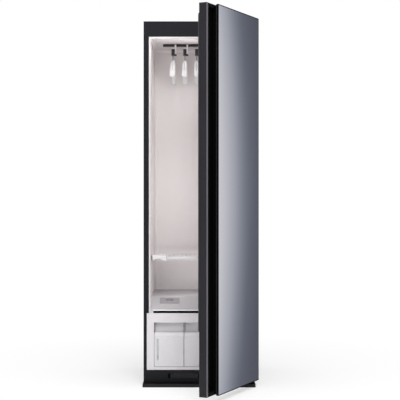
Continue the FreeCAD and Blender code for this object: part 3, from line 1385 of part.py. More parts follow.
def refrigerant_pipes():
    """Pipes between the compressor's top and the ends of the two coils."""
    x, y = COMPRESSOR
    top = TRAY_TOP + COMPRESSOR_FOOT_THICKNESS + COMPRESSOR_HEIGHT
    coil_end = COIL_X + COIL_WIDTH / 2
    rise = COIL_HEIGHT / (COIL_TUBES + 1)
    level = TRAY_TOP + COIL_TUBES * rise
    low_level = TRAY_TOP + rise
    spread = COMPRESSOR_RADIUS / 2
    lead = coil_end + 2 * PIPE_BEND
    pipes = []
    routes = ((CONDENSER_SETBACK, spread, PIPE_RISE), (EVAPORATOR_SETBACK, -spread, 2 * PIPE_RISE))
    for setback, offset, height in routes:
        coil_y = FRONT + setback
        run = top + height
        pipes.append(
            bent_pipe(
                [
                    V(x + offset, y, top),
                    V(x + offset, y, run),
                    V(x + offset, coil_y, run),
                    V(lead, coil_y, run),
                    V(lead, coil_y, level),
                    V(coil_end, coil_y, level),
                ]
            )
        )
    first, second = FRONT + EVAPORATOR_SETBACK, FRONT + CONDENSER_SETBACK
    pipes.append(
        bent_pipe(
            [
                V(coil_end, first, low_level),
                V(lead, first, low_level),
                V(lead, second, low_level),
                V(coil_end, second, low_level),
            ]
        )
    )
    return group(pipes)


def nozzle_place():
    """X and Y of the steam nozzle, above the steam generator."""
    return STEAM_CENTRE


def nozzle_pipe(gap):
    """Riser from the steam generator to the nozzle, widened by a gap."""
    x, y = nozzle_place()
    return rod(NOZZLE_PIPE_RADIUS + gap, TRAY_TOP + STEAM_BOX[2], DECK_HEIGHT, x, y)


def steam_generator():
    """Boiler box on the tray."""
    x, y = STEAM_CENTRE
    width, depth, height = STEAM_BOX
    top = TRAY_TOP + height
    shell = rounded(box(around(x, width), around(y, depth), (TRAY_TOP, top)), STEAM_ROUND, UP)
    rib = box(around(x, STEAM_LID_WIDTH), around(y, depth), (top, top + STEAM_LID_HEIGHT))
    return cut(joined([shell, rib]), [nozzle_pipe(BORE_FIT)])


def steam_nozzle():
    """Round nozzle on the deck with side holes, on its riser."""
    x, y = nozzle_place()
    head = rod(NOZZLE_RADIUS, DECK_HEIGHT, DECK_HEIGHT + NOZZLE_HEIGHT, x, y)
    head = head.makeFillet(NOZZLE_ROUND, upper_rims(head, DECK_HEIGHT + NOZZLE_HEIGHT / 2))
    ports = []
    for i in range(NOZZLE_HOLES):
        way = V(math.cos(2 * math.pi * i / NOZZLE_HOLES), math.sin(2 * math.pi * i / NOZZLE_HOLES), 0)
        start = V(x, y, DECK_HEIGHT + NOZZLE_HEIGHT / 2)
        ports.append(Part.makeCylinder(NOZZLE_HOLE_RADIUS, 2 * NOZZLE_RADIUS, start, way))
    return cut(joined([head, nozzle_pipe(0)]), ports)


def water_pumps():
    """Supply pump and drain pump on the tray, under their tanks."""
    pumps = []
    y = FRONT + PUMP_SETBACK
    for index in (0, 1):
        x = section_centre(index)
        top = TRAY_TOP + PUMP_HEIGHT
        can = rod(PUMP_RADIUS, TRAY_TOP, top, x, y)
        spigot = rod(PUMP_SPIGOT_RADIUS, top, top + PUMP_SPIGOT_LENGTH, x, y)
        pumps.append(joined([can, spigot]))
    return group(pumps)


def control_box():
    """Electronics box in the roof space."""
    x, y = CONTROL_BOX_CENTRE
    width, depth, height = CONTROL_BOX
    shell = box(around(x, width), around(y, depth), (OPENING_TOP, OPENING_TOP + height))
    return rounded(shell, CONTROL_BOX_ROUND, UP)


# ---- every node
def nodes():
    """All pieces by node name, at rest."""
    left_foot, right_foot = front_feet()
    roof, floor = blower_bases()
    supply, drain, blank = (section_centre(i) for i in range(BAY_SECTIONS))
    right_side = side_panel()
    pieces = {
        "left_side_panel": mirrored(right_side),
        "right_side_panel": right_side,
        "top_panel": top_panel(),
        "back_panel": back_panel(),
        "front_header": front_header(),
        "plinth_panel": plinth_panel(),
        "base_tray": base_tray(),
        "floor_frame": floor_frame(),
        "rear_feet": rear_feet(),
        "left_front_foot": front_foot(*left_foot),
        "right_front_foot": front_foot(*right_foot),
        "case_screws": case_screws(),
        "cord_gland": cord_gland(),
        "opening_trim": opening_trim(),
        "liner_left": liner_wall(LEFT),
        "liner_right": liner_wall(RIGHT),
        "liner_back": liner_back(),
        "liner_ceiling": liner_ceiling(),
        "chamber_floor": chamber_floor(),
        "lint_filter": lint_filter(),
        "shelf": shelf(),
        "hanger_rail": hanger_rail(),
        "hanger_posts": hanger_posts(),
        "hanger_sockets": hanger_sockets(),
        "bay_fascia": bay_fascia(),
        "tank_bay": tank_bay(),
        "blank_cover": blank_cover(blank),
        "supply_tank": tank(supply),
        "supply_tank_front": tank_front(supply, True),
        "supply_tank_cap": tank_cap(supply),
        "drain_tank": tank(drain),
        "drain_tank_front": tank_front(drain, False),
        "drain_tank_cap": tank_cap(drain),
        "upper_hinge_arm": upper_hinge_arm(),
        "lower_hinge_bracket": lower_hinge_bracket(),
        "fan_housings": fan_housings(),
        "fan_motors": fan_motors(),
        "upper_fan_wheel": fan_wheel(*roof),
        "lower_fan_wheel": fan_wheel(*floor),
        "heat_exchangers": group([coil(EVAPORATOR_SETBACK), coil(CONDENSER_SETBACK)]),
        "compressor": compressor(),
        "refrigerant_pipes": refrigerant_pipes(),
        "steam_generator": steam_generator(),
        "steam_nozzle": steam_nozzle(),
        "water_pumps": water_pumps(),
        "control_box": control_box(),
    }
    for number, post in enumerate(hanger_places(), 1):
        pieces[f"hanger_{number}"] = hanger(post)
    door = {
        "door_frame": door_frame,
        "door_core": door_core,
        "door_liner": door_liner,
        "door_gasket": door_gasket,
        "grip_channel": grip_channel,
        "control_panel": control_panel,
        "glass_backing": glass_backing,
        "door_glass": door_glass,
        "hinge_bushes": hinge_bushes,
    }
    for name, make in door.items():
        pieces[name] = opened(make())
    return pieces


def main():
    """Writes one STEP file for each node."""
    os.makedirs("parts", exist_ok=True)
    for name, shape in nodes().items():
        solids = shape.Solids
        if not shape.isValid() or not solids:
            raise RuntimeError(f"{name} is not a valid solid")
        whole = solids[0] if len(solids) == 1 else Part.makeCompound(solids)
        whole.exportStep(os.path.join("parts", name + ".step"))
        print(f"{name}: {len(solids)} solid(s), {shape.Volume / 1000:.1f} cm3")


main()
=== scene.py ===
"""Looks of the clothes care steam cabinet: its finishes, detailed pieces, light and camera."""

import logging
import math
from collections.abc import Iterable, Sequence
from dataclasses import dataclass
from enum import Enum, StrEnum, auto
from typing import Any, ClassVar

import bmesh
import bpy
from mathutils import Matrix, Vector


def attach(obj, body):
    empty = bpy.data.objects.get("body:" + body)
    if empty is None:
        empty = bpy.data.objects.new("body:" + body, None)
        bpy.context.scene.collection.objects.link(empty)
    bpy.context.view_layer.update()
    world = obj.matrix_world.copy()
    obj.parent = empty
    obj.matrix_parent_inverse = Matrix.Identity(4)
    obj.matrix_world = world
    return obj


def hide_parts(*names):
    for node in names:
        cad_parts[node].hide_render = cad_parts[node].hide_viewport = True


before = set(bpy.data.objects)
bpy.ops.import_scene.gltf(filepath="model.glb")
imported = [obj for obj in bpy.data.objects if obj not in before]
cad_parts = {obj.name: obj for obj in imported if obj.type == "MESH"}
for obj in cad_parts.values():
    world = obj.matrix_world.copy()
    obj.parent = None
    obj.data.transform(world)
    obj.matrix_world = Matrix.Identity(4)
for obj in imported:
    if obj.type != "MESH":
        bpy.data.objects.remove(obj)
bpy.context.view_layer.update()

LOG = logging.getLogger("cabinet")
Pair = tuple[float, float]
Triple = tuple[float, float, float]
Box = tuple[float, float, float, float]  # left, right, bottom and top
Socket = bpy.types.NodeSocket
SAME_POINT = 1e-6  # distance in metres below which two points are one
UP = Vector((0.0, 0.0, 1.0))
WHITE = (1.0, 1.0, 1.0, 1.0)
DUST = (0.5, 0.48, 0.46, 1.0)
CUT_GLASS = (0.004, 0.004, 0.005, 1.0)


class Slot(StrEnum):
    """The record's material slots."""

    CASING_PAINT = auto()
    BARE_STEEL = auto()
    BLACK_PLASTIC = auto()
    BLACK_GLOSS = auto()
    WHITE_TRIM = auto()
    LINER_PLASTIC = auto()
    WHITE_PLASTIC = auto()
    GREY_PLASTIC = auto()
    RAIL_METAL = auto()
    POST_CHROME = auto()
    TANK_PLASTIC = auto()
    DOOR_METAL = auto()
    MIRROR_GLASS = auto()
    CORE_BOARD = auto()
    SEAL_RUBBER = auto()
    CAST_ALUMINIUM = auto()
    COPPER_PIPE = auto()


class Special(StrEnum):
    """Finishes that single pieces have within their slot."""

    CORNER_LINE = auto()
    CHAMBER_FLOOR = auto()
    TANK_FRONT = auto()
    OPENING_RIM = auto()
    FILTER = auto()
    GRILLE = auto()
    GROOVE = auto()
    GRIP = auto()
    SOCKET = auto()
    LIP = auto()


Coats = dict[Slot | Special, tuple[str, ...]]


class Axis(Enum):
    """Directions that a straight bar may run in."""

    X = auto()
    Z = auto()


class Bench:
    """Lays nodes in one tree and wires them as they are laid."""

    def __init__(self, tree: bpy.types.NodeTree) -> None:
        """Work on this tree."""
        self.tree = tree

    @classmethod
    def clear(cls, owner: bpy.types.Material | bpy.types.World) -> "Bench":
        """Start on the emptied tree of a material or world.

        Args:
            owner: The material or world.

        Returns:
            The bench on its tree.
        """
        owner.use_nodes = True
        owner.node_tree.nodes.clear()
        return cls(owner.node_tree)

    def feed(self, socket: Socket, value: Any) -> None:
        """Give a socket its input.

        Args:
            socket: The input socket.
            value: Another node's output to link, or the socket's own value.
        """
        if isinstance(value, Socket):
            self.tree.links.new(value, socket)
        else:
            socket.default_value = value

    def lay(self, kind: str, inputs: dict[Any, Any] | None = None, **settings: Any) -> bpy.types.Node:
        """Add one shader node.

        Args:
            kind: The node's type, as it is named after ShaderNode.
            inputs: Input names or numbers, each with a socket or a value.
            **settings: The node's own properties.

        Returns:
            The new node.
        """
        node = self.tree.nodes.new(f"ShaderNode{kind}")
        for name, value in settings.items():
            setattr(node, name, value)
        for key, value in (inputs or {}).items():
            self.feed(node.inputs[key], value)
        return node

    def sum(self, operation: str, first: Any, second: Any = 0.0) -> Socket:
        """Return what a Math node makes of two numbers or sockets."""
        return self.lay("Math", {0: first, 1: second}, operation=operation).outputs[0]

    def times(self, first: Any, second: Any) -> Socket:
        """Return the product of two numbers or sockets."""
        return self.sum("MULTIPLY", first, second)

    def weigh(self, first: Any, part: float, second: Any) -> Socket:
        """Return this part of the first value plus the rest of the second."""
        return self.sum("ADD", self.times(first, part), self.times(second, 1.0 - part))

    def ramp(self, value: Any, low: float, high: float, start: Any = 0.0, end: Any = 1.0) -> Socket:
        """Return the span from low to high spread over that from start to end, clamped."""
        spans = {"From Min": low, "From Max": high, "To Min": start, "To Max": end}
        return self.lay("MapRange", {"Value": value, **spans}).outputs["Result"]

    def dot(self, first: Any, second: Any) -> Socket:
        """Return how far two directions agree."""
        return self.lay("VectorMath", {0: first, 1: second}, operation="DOT_PRODUCT").outputs["Value"]

    def blend(self, share: Any, first: Any, second: Any) -> Socket:
        """Return the first colour with this share of the second."""
        return self.lay("Mix", {0: share, 6: first, 7: second}, data_type="RGBA").outputs[2]

    def place(self) -> Socket:
        """Return the position on the piece, in metres."""
        return self.lay("TexCoord").outputs["Object"]

    def noise(self, scale: Any, detail: float = 2.0, where: Any = None) -> Socket:
        """Return noise of so many cells per metre and octaves, by default over the piece."""
        inputs = {"Vector": where or self.place(), "Scale": scale, "Detail": detail}
        return self.lay("TexNoise", inputs).outputs[0]


class Effect(Bench):
    """A node group that several finishes share, and the bench that it is built on."""

    title: ClassVar[str]
    entries: ClassVar[dict[str, str]]
    exits: ClassVar[dict[str, str]]

    def __init__(self) -> None:
        """Make the group with its sockets and nodes."""
        super().__init__(bpy.data.node_groups.new(self.title, "ShaderNodeTree"))
        for direction, sockets in (("INPUT", self.entries), ("OUTPUT", self.exits)):
            for name, kind in sockets.items():
                self.tree.interface.new_socket(name, in_out=direction, socket_type=f"NodeSocket{kind}")
        self.entry = self.tree.nodes.new("NodeGroupInput").outputs
        self.leave = self.tree.nodes.new("NodeGroupOutput").inputs
        self.wire()

    def wire(self) -> None:
        """Lay the group's own nodes between self.entry and self.leave."""
        raise NotImplementedError

    @classmethod
    def put(cls, bench: Bench, **values: Any) -> Any:
        """Place the group, built on first use, with these inputs and return its outputs."""
        tree = bpy.data.node_groups.get(cls.title) or cls().tree
        return bench.lay("Group", values, node_tree=tree).outputs


class ToneDrift(Effect):
    """Soft change from one colour to another over the surface."""

    title = "tone_drift"
    entries = {"Colour": "Color", "Other": "Color", "Scale": "Float", "Share": "Float"}
    exits = {"Colour": "Color"}

    def wire(self) -> None:
        """Mix the two colours by a slow noise and a finer one."""
        slow = self.noise(self.entry["Scale"], 3.0)
        fine = self.noise(self.times(self.entry["Scale"], 14.0))
        share = self.times(self.ramp(self.weigh(slow, 0.7, fine), 0.38, 0.62), self.entry["Share"])
        self.feed(self.leave["Colour"], self.blend(share, self.entry["Colour"], self.entry["Other"]))


class FineGrain(Effect):
    """Height of a moulded or sprayed surface's grain."""

    title = "fine_grain"
    entries = {"Scale": "Float", "Pits": "Float"}
    exits = {"Height": "Float"}

    def wire(self) -> None:
        """Add small pits to a fine noise."""
        grain = self.noise(self.entry["Scale"], 3.0)
        cells = self.lay("TexVoronoi", {"Vector": self.place(), "Scale": self.entry["Scale"]})
        pits = self.times(self.ramp(cells.outputs["Distance"], 0.0, 0.5), self.entry["Pits"])
        self.feed(self.leave["Height"], self.sum("ADD", grain, pits))


class EdgeWearAndHighlight(Effect):
    """Where edges stand proud, which take a lighter colour as wear and as a painted edge highlight, and the
    surface direction with those edges rounded.
    """

    title = "edge_wear_and_highlight"
    entries = {"Round": "Float"}
    exits = {"Mask": "Float", "Normal": "Vector"}

    def wire(self) -> None:
        """Compare the rounded direction with the plain one and break the mask up with noise."""
        rounded = self.lay("Bevel", {"Radius": self.entry["Round"]}, samples=4).outputs[0]
        turn = self.dot(rounded, self.lay("NewGeometry").outputs["Normal"])
        patches = self.ramp(self.noise(45.0, 4.0), 0.3, 0.6)
        self.feed(self.leave["Mask"], self.times(self.ramp(turn, 0.985, 0.75), patches))
        self.feed(self.leave["Normal"], rounded)


class SettledDust(Effect):
    """Thin uneven dust on faces that look up."""

    title = "settled_dust"
    entries = {"Amount": "Float"}
    exits = {"Mask": "Float"}

    def wire(self) -> None:
        """Take the upward part of the surface direction and thin it with noise."""
        normal = self.lay("NewGeometry").outputs["Normal"]
        upward = self.ramp(self.lay("SeparateXYZ", {0: normal}).outputs["Z"], 0.7, 1.0)
        patches = self.ramp(self.noise(9.0, 5.0), 0.35, 0.7)
        self.feed(self.leave["Mask"], self.times(self.times(upward, patches), self.entry["Amount"]))


class HandledGloss(Effect):
    """Roughness that wanders as it does on a surface that hands wipe and touch."""

    title = "handled_gloss"
    entries = {"Roughness": "Float", "Spread": "Float"}
    exits = {"Roughness": "Float"}

    def wire(self) -> None:
        """Add two sizes of smear to the plain roughness."""
        stretched = self.lay("Mapping", {"Vector": self.place(), "Scale": (1.0, 1.0, 0.35)})
        both = self.weigh(self.noise(7.0, 5.0, stretched.outputs[0]), 0.75, self.noise(160.0))
        shift = self.times(self.ramp(both, 0.35, 0.65, -1.0, 1.0), self.entry["Spread"])
        self.feed(self.leave["Roughness"], self.sum("ADD", self.entry["Roughness"], shift))


class BrushLines(Effect):
    """Fine lines drawn along metal, as a height and as a light and dark mask."""

    title = "brush_lines"
    entries = {"Scale": "Float", "Stretch": "Vector"}
    exits = {"Height": "Float", "Mask": "Float"}

    def wire(self) -> None:
        """Stretch noise along the brushing."""
        inputs = {0: self.place(), 1: self.entry["Stretch"]}
        along = self.lay("VectorMath", inputs, operation="MULTIPLY").outputs[0]
        lines = self.noise(self.entry["Scale"], 4.0, along)
        self.feed(self.leave["Height"], lines)
        self.feed(self.leave["Mask"], self.ramp(lines, 0.35, 0.65))


@dataclass(frozen=True)
class Finish:
    """A plain moulded or sprayed finish, and the base of the others."""

    tone: Triple
    drift: Triple  # the colour that the tone drifts to
    roughness: float
    smear: float = 0.05  # how far the roughness wanders
    share: float = 0.6  # of the drift colour, at most
    patch: float = 2.5  # drift patches per metre
    grain: float = 700.0  # grain cells per metre
    depth: float = 3e-5  # of the grain, in metres
    pits: float = 0.3  # share of pits in the grain
    round: float = 0.0008  # radius of the rounded edges
    edge: Triple = (0.6, 0.6, 0.6)  # colour of rubbed edges, lighter than the tone as a painted edge highlight as well as wear
    wear: float = 0.25  # share of that colour there
    dust: float = 0.08  # share of dust on upward faces
    specular: float = 0.5
    metallic: float = 0.0

    def relief(self, bench: Bench) -> Socket:
        """Return the height of the surface's own texture."""
        return FineGrain.put(bench, Scale=self.grain, Pits=self.pits)["Height"]

    def tint(self, bench: Bench, colour: Socket) -> Socket:
        """Return the colour with anything that only this finish adds."""
        return colour

    def constants(self) -> dict[str, float]:
        """Return the shader's values that only this finish sets."""
        return {}

    def make(self, name: str) -> bpy.types.Material:
        """Build the material.

        Args:
            name: Name of the material.

        Returns:
            The material with its nodes.
        """
        material = bpy.data.materials.new(name)
        bench = Bench.clear(material)
        tones = {"Colour": (*self.tone, 1.0), "Other": (*self.drift, 1.0)}
        colour = ToneDrift.put(bench, Scale=self.patch, Share=self.share, **tones)["Colour"]
        edges = EdgeWearAndHighlight.put(bench, Round=self.round)
        # edges take the lighter edge colour: partly wear, partly a painted edge highlight
        wear_and_highlight = bench.times(edges["Mask"], self.wear)
        colour = bench.blend(wear_and_highlight, self.tint(bench, colour), (*self.edge, 1.0))
        dust = SettledDust.put(bench, Amount=self.dust)["Mask"]
        gloss = HandledGloss.put(bench, Roughness=self.roughness, Spread=self.smear)
        relief = {"Distance": self.depth, "Height": self.relief(bench), "Normal": edges["Normal"]}
        shader = bench.lay("BsdfPrincipled", {
            "Base Color": bench.blend(dust, colour, DUST),
            "Roughness": gloss["Roughness"],
            "Normal": bench.lay("Bump", {"Strength": 1.0, **relief}).outputs[0],
            "Specular IOR Level": self.specular,
            "Metallic": self.metallic,
            **self.constants(),
        })
        bench.lay("OutputMaterial", {"Surface": shader.outputs[0]})
        return material


@dataclass(frozen=True)
class BrushedMetal(Finish):
    """Metal with fine lines drawn along it."""

    metallic: float = 1.0
    stretch: Triple = (1.0, 1.0, 0.02)  # scale on each axis; the small one runs along the lines
    lines: float = 900.0  # lines per metre
    streak: float = 0.3  # share of the streaks' colour

    def relief(self, bench: Bench) -> Socket:
        """Return the height of the brush lines."""
        return BrushLines.put(bench, Scale=self.lines, Stretch=self.stretch)["Height"]

    def tint(self, bench: Bench, colour: Socket) -> Socket:
        """Return the colour with lighter and darker streaks."""
        mask = BrushLines.put(bench, Scale=self.lines * 0.4, Stretch=self.stretch)["Mask"]
        return bench.blend(bench.times(mask, self.streak), colour, (*self.drift, 1.0))


@dataclass(frozen=True)
class CastMetal(Finish):
    """Sand-cast or pressed metal with a coarse skin."""

    metallic: float = 1.0

    def relief(self, bench: Bench) -> Socket:
        """Return the height of a coarse skin with fine grain on it."""
        return bench.weigh(bench.noise(self.grain * 0.2, 4.0), 0.7, super().relief(bench))


@dataclass(frozen=True)
class MirrorGlass(Finish):
    """Tinted mirror behind clear glass, with dark cut edges."""

    metallic: float = 1.0
    facing: Triple = (0.891, -0.454, 0.0)  # where the mirror looks, in the piece's own space

    def relief(self, bench: Bench) -> Socket:
        """Return the very slow wave of float glass."""
        return bench.noise(1.6, 1.0)

    def tint(self, bench: Bench, colour: Socket) -> Socket:
        """Return the mirror's colour, with black on the cut edges."""
        turn = bench.sum("ABSOLUTE", bench.dot(bench.lay("TexCoord").outputs["Normal"], self.facing))
        return bench.blend(bench.ramp(turn, 0.75, 0.95), CUT_GLASS, colour)


@dataclass(frozen=True)
class ClearPlastic(Finish):
    """Cloudy see-through plastic."""

    through: float = 0.6  # transmission weight

    def constants(self) -> dict[str, float]:
        """Return how much light passes through, and how it bends."""
        return {"Transmission Weight": self.through, "IOR": 1.49}


@dataclass(frozen=True)
class RibbedRubber(Finish):
    """Matte rubber with faint moulding lines."""

    def relief(self, bench: Bench) -> Socket:
        """Return the height of grain with moulding lines across it."""
        lines = BrushLines.put(bench, Scale=500.0, Stretch=(1.0, 1.0, 0.05))["Height"]
        return bench.sum("ADD", bench.times(lines, 0.5), super().relief(bench))


FINISHES: dict[Slot | Special, Finish] = {
    Slot.CASING_PAINT: Finish(
        (0.0105, 0.0108, 0.0132), (0.0135, 0.0138, 0.0165), 0.42, specular=0.14, depth=2e-5,
        grain=1400.0, edge=(0.045, 0.045, 0.05), wear=0.5, dust=0.012,
    ),
    Slot.BARE_STEEL: BrushedMetal(
        (0.55, 0.56, 0.58), (0.42, 0.43, 0.46), 0.34, stretch=(0.03, 1.0, 1.0), depth=1e-5,
        edge=(0.75, 0.76, 0.78),
    ),
    Slot.BLACK_PLASTIC: Finish(
        (0.012, 0.012, 0.0135), (0.018, 0.018, 0.02), 0.55, specular=0.2, depth=5e-5,
        grain=900.0, edge=(0.06, 0.06, 0.062), dust=0.05,
    ),
    Slot.BLACK_GLOSS: Finish(
        (0.0014, 0.0014, 0.0017), (0.002, 0.002, 0.0024), 0.5, specular=0.03, depth=8e-6,
        edge=(0.04, 0.04, 0.045), wear=0.4, dust=0.01,
    ),
    Slot.WHITE_TRIM: Finish(
        (0.69, 0.665, 0.69), (0.67, 0.645, 0.67), 0.3, depth=1.5e-5, edge=(0.80, 0.79, 0.81), dust=0.03,
    ),
    Slot.LINER_PLASTIC: Finish(
        (0.78, 0.735, 0.735), (0.75, 0.70, 0.70), 0.42, grain=1100.0, edge=(0.85, 0.83, 0.83), dust=0.04,
    ),
    Slot.WHITE_PLASTIC: Finish(
        (0.72, 0.71, 0.713), (0.70, 0.685, 0.69), 0.36, depth=2e-5, edge=(0.78, 0.78, 0.78), dust=0.03,
    ),
    Slot.GREY_PLASTIC: Finish(
        (0.33, 0.33, 0.345), (0.29, 0.29, 0.305), 0.5, depth=5e-5, edge=(0.45, 0.45, 0.46),
    ),
    Slot.RAIL_METAL: Finish(
        (0.014, 0.013, 0.014), (0.02, 0.019, 0.02), 0.4, specular=0.35, edge=(0.10, 0.10, 0.10), wear=0.6,
    ),
    Slot.POST_CHROME: BrushedMetal(
        (0.82, 0.81, 0.82), (0.74, 0.73, 0.74), 0.3, stretch=(1.0, 1.0, 0.03), streak=0.2,
        depth=6e-6, edge=(0.9, 0.9, 0.9),
    ),
    Slot.TANK_PLASTIC: ClearPlastic(
        (0.62, 0.64, 0.67), (0.56, 0.59, 0.63), 0.28, through=0.3, edge=(0.8, 0.83, 0.86),
    ),
    Slot.DOOR_METAL: BrushedMetal(
        (0.016, 0.0148, 0.0182), (0.021, 0.0196, 0.0234), 0.42, depth=1.2e-5, metallic=0.0,
        specular=0.14, edge=(0.09, 0.088, 0.096), wear=0.5, lines=1300.0,
    ),
    Slot.MIRROR_GLASS: MirrorGlass(
        (0.60, 0.59, 0.625), (0.585, 0.575, 0.61), 0.06, smear=0.015, depth=1e-5, patch=1.2,
        round=0.0004, wear=0.0, dust=0.0,
    ),
    Slot.CORE_BOARD: Finish(
        (0.62, 0.59, 0.52), (0.55, 0.51, 0.44), 0.85, depth=1.5e-4, grain=350.0, pits=0.8,
        edge=(0.7, 0.67, 0.6),
    ),
    Slot.SEAL_RUBBER: RibbedRubber(
        (0.06, 0.06, 0.063), (0.08, 0.08, 0.083), 0.7, specular=0.25, depth=5e-5, edge=(0.14, 0.14, 0.14),
    ),
    Slot.CAST_ALUMINIUM: CastMetal(
        (0.58, 0.58, 0.60), (0.48, 0.48, 0.50), 0.42, depth=1.2e-4, edge=(0.72, 0.72, 0.74),
    ),
    Slot.COPPER_PIPE: CastMetal(
        (0.62, 0.32, 0.20), (0.40, 0.20, 0.13), 0.33, depth=2e-5, share=0.8, patch=18.0,
        edge=(0.78, 0.46, 0.32),
    ),
    # door metal painted paler along the free corner: a painted highlight
    Special.CORNER_LINE: BrushedMetal(
        (0.125, 0.118, 0.13), (0.145, 0.138, 0.15), 0.4, metallic=0.3, depth=1e-5, wear=0.0,
    ),
    # liner plastic painted darker for the chamber floor: painted shade for the shelf's shadow on it
    Special.CHAMBER_FLOOR: Finish(
        (0.495, 0.474, 0.49), (0.475, 0.455, 0.47), 0.42, grain=1100.0, edge=(0.7, 0.68, 0.69), dust=0.04,
    ),
    Special.TANK_FRONT: Finish(
        (0.68, 0.66, 0.68), (0.66, 0.64, 0.66), 0.3, depth=1.5e-5, edge=(0.76, 0.75, 0.77), dust=0.03,
    ),
    Special.OPENING_RIM: Finish(
        (0.62, 0.59, 0.60), (0.60, 0.57, 0.58), 0.32, depth=1.5e-5, edge=(0.8, 0.78, 0.79), dust=0.03,
    ),
    Special.FILTER: Finish(
        (0.325, 0.308, 0.322), (0.295, 0.28, 0.29), 0.5, depth=5e-5, edge=(0.42, 0.40, 0.41),
    ),
    Special.GRILLE: Finish(
        (0.029, 0.029, 0.033), (0.035, 0.035, 0.039), 0.5, specular=0.2, depth=4e-5,
        grain=900.0, edge=(0.08, 0.08, 0.085), dust=0.04,
    ),
    # white trim painted darker for the groove bars: painted shade
    Special.GROOVE: Finish(
        (0.50, 0.48, 0.50), (0.47, 0.45, 0.47), 0.4, depth=2e-5, edge=(0.6, 0.58, 0.6),
    ),
    Special.GRIP: RibbedRubber(
        (0.42, 0.42, 0.43), (0.38, 0.38, 0.39), 0.65, specular=0.3, depth=4e-5, edge=(0.5, 0.5, 0.5),
    ),
    Special.SOCKET: Finish(
        (0.028, 0.028, 0.03), (0.036, 0.036, 0.039), 0.5, specular=0.18, depth=4e-5,
        grain=900.0, edge=(0.09, 0.09, 0.095),
    ),
    # white trim painted paler for the floor lip's bead: a painted highlight
    Special.LIP: Finish(
        (0.85, 0.83, 0.85), (0.81, 0.79, 0.81), 0.32, depth=2e-5, edge=(0.9, 0.89, 0.9), dust=0.02,
    ),
}


def material_of(choice: Slot | Special) -> bpy.types.Material:
    """Return the material of a slot or of a special finish, made on first use."""
    name = f"{choice}_finish"
    return bpy.data.materials.get(name) or FINISHES[choice].make(name)


def round_edges(width: float, *nodes: str) -> None:
    """Round the sharp edges of CAD nodes with modifiers.

    Args:
        width: Width of the rounding in metres.
        *nodes: Names of the nodes.
    """
    for name in nodes:
        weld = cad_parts[name].modifiers.new("join_corners", "WELD")
        weld.merge_threshold = 1e-5
        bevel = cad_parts[name].modifiers.new("round_edges", "BEVEL")
        bevel.width = width
        bevel.segments = 2
        bevel.limit_method = "ANGLE"
        bevel.angle_limit = math.radians(40)
        bevel.harden_normals = True


def rounded_rectangle(width: float, height: float, radius: float, steps: int = 4) -> list[Pair]:
    """Outline of a rectangle with round corners, centred on the origin.

    Args:
        width: Full width.
        height: Full height.
        radius: Corner radius.
        steps: Segments in each corner.

    Returns:
        Points in order round the outline.
    """
    points = []
    for side, level, start in ((1, 1, 0), (-1, 1, 90), (-1, -1, 180), (1, -1, 270)):
        for i in range(steps + 1):
            angle = math.radians(start + 90 * i / steps)
            across = side * (width / 2 - radius) + radius * math.cos(angle)
            points.append((across, level * (height / 2 - radius) + radius * math.sin(angle)))
    return points


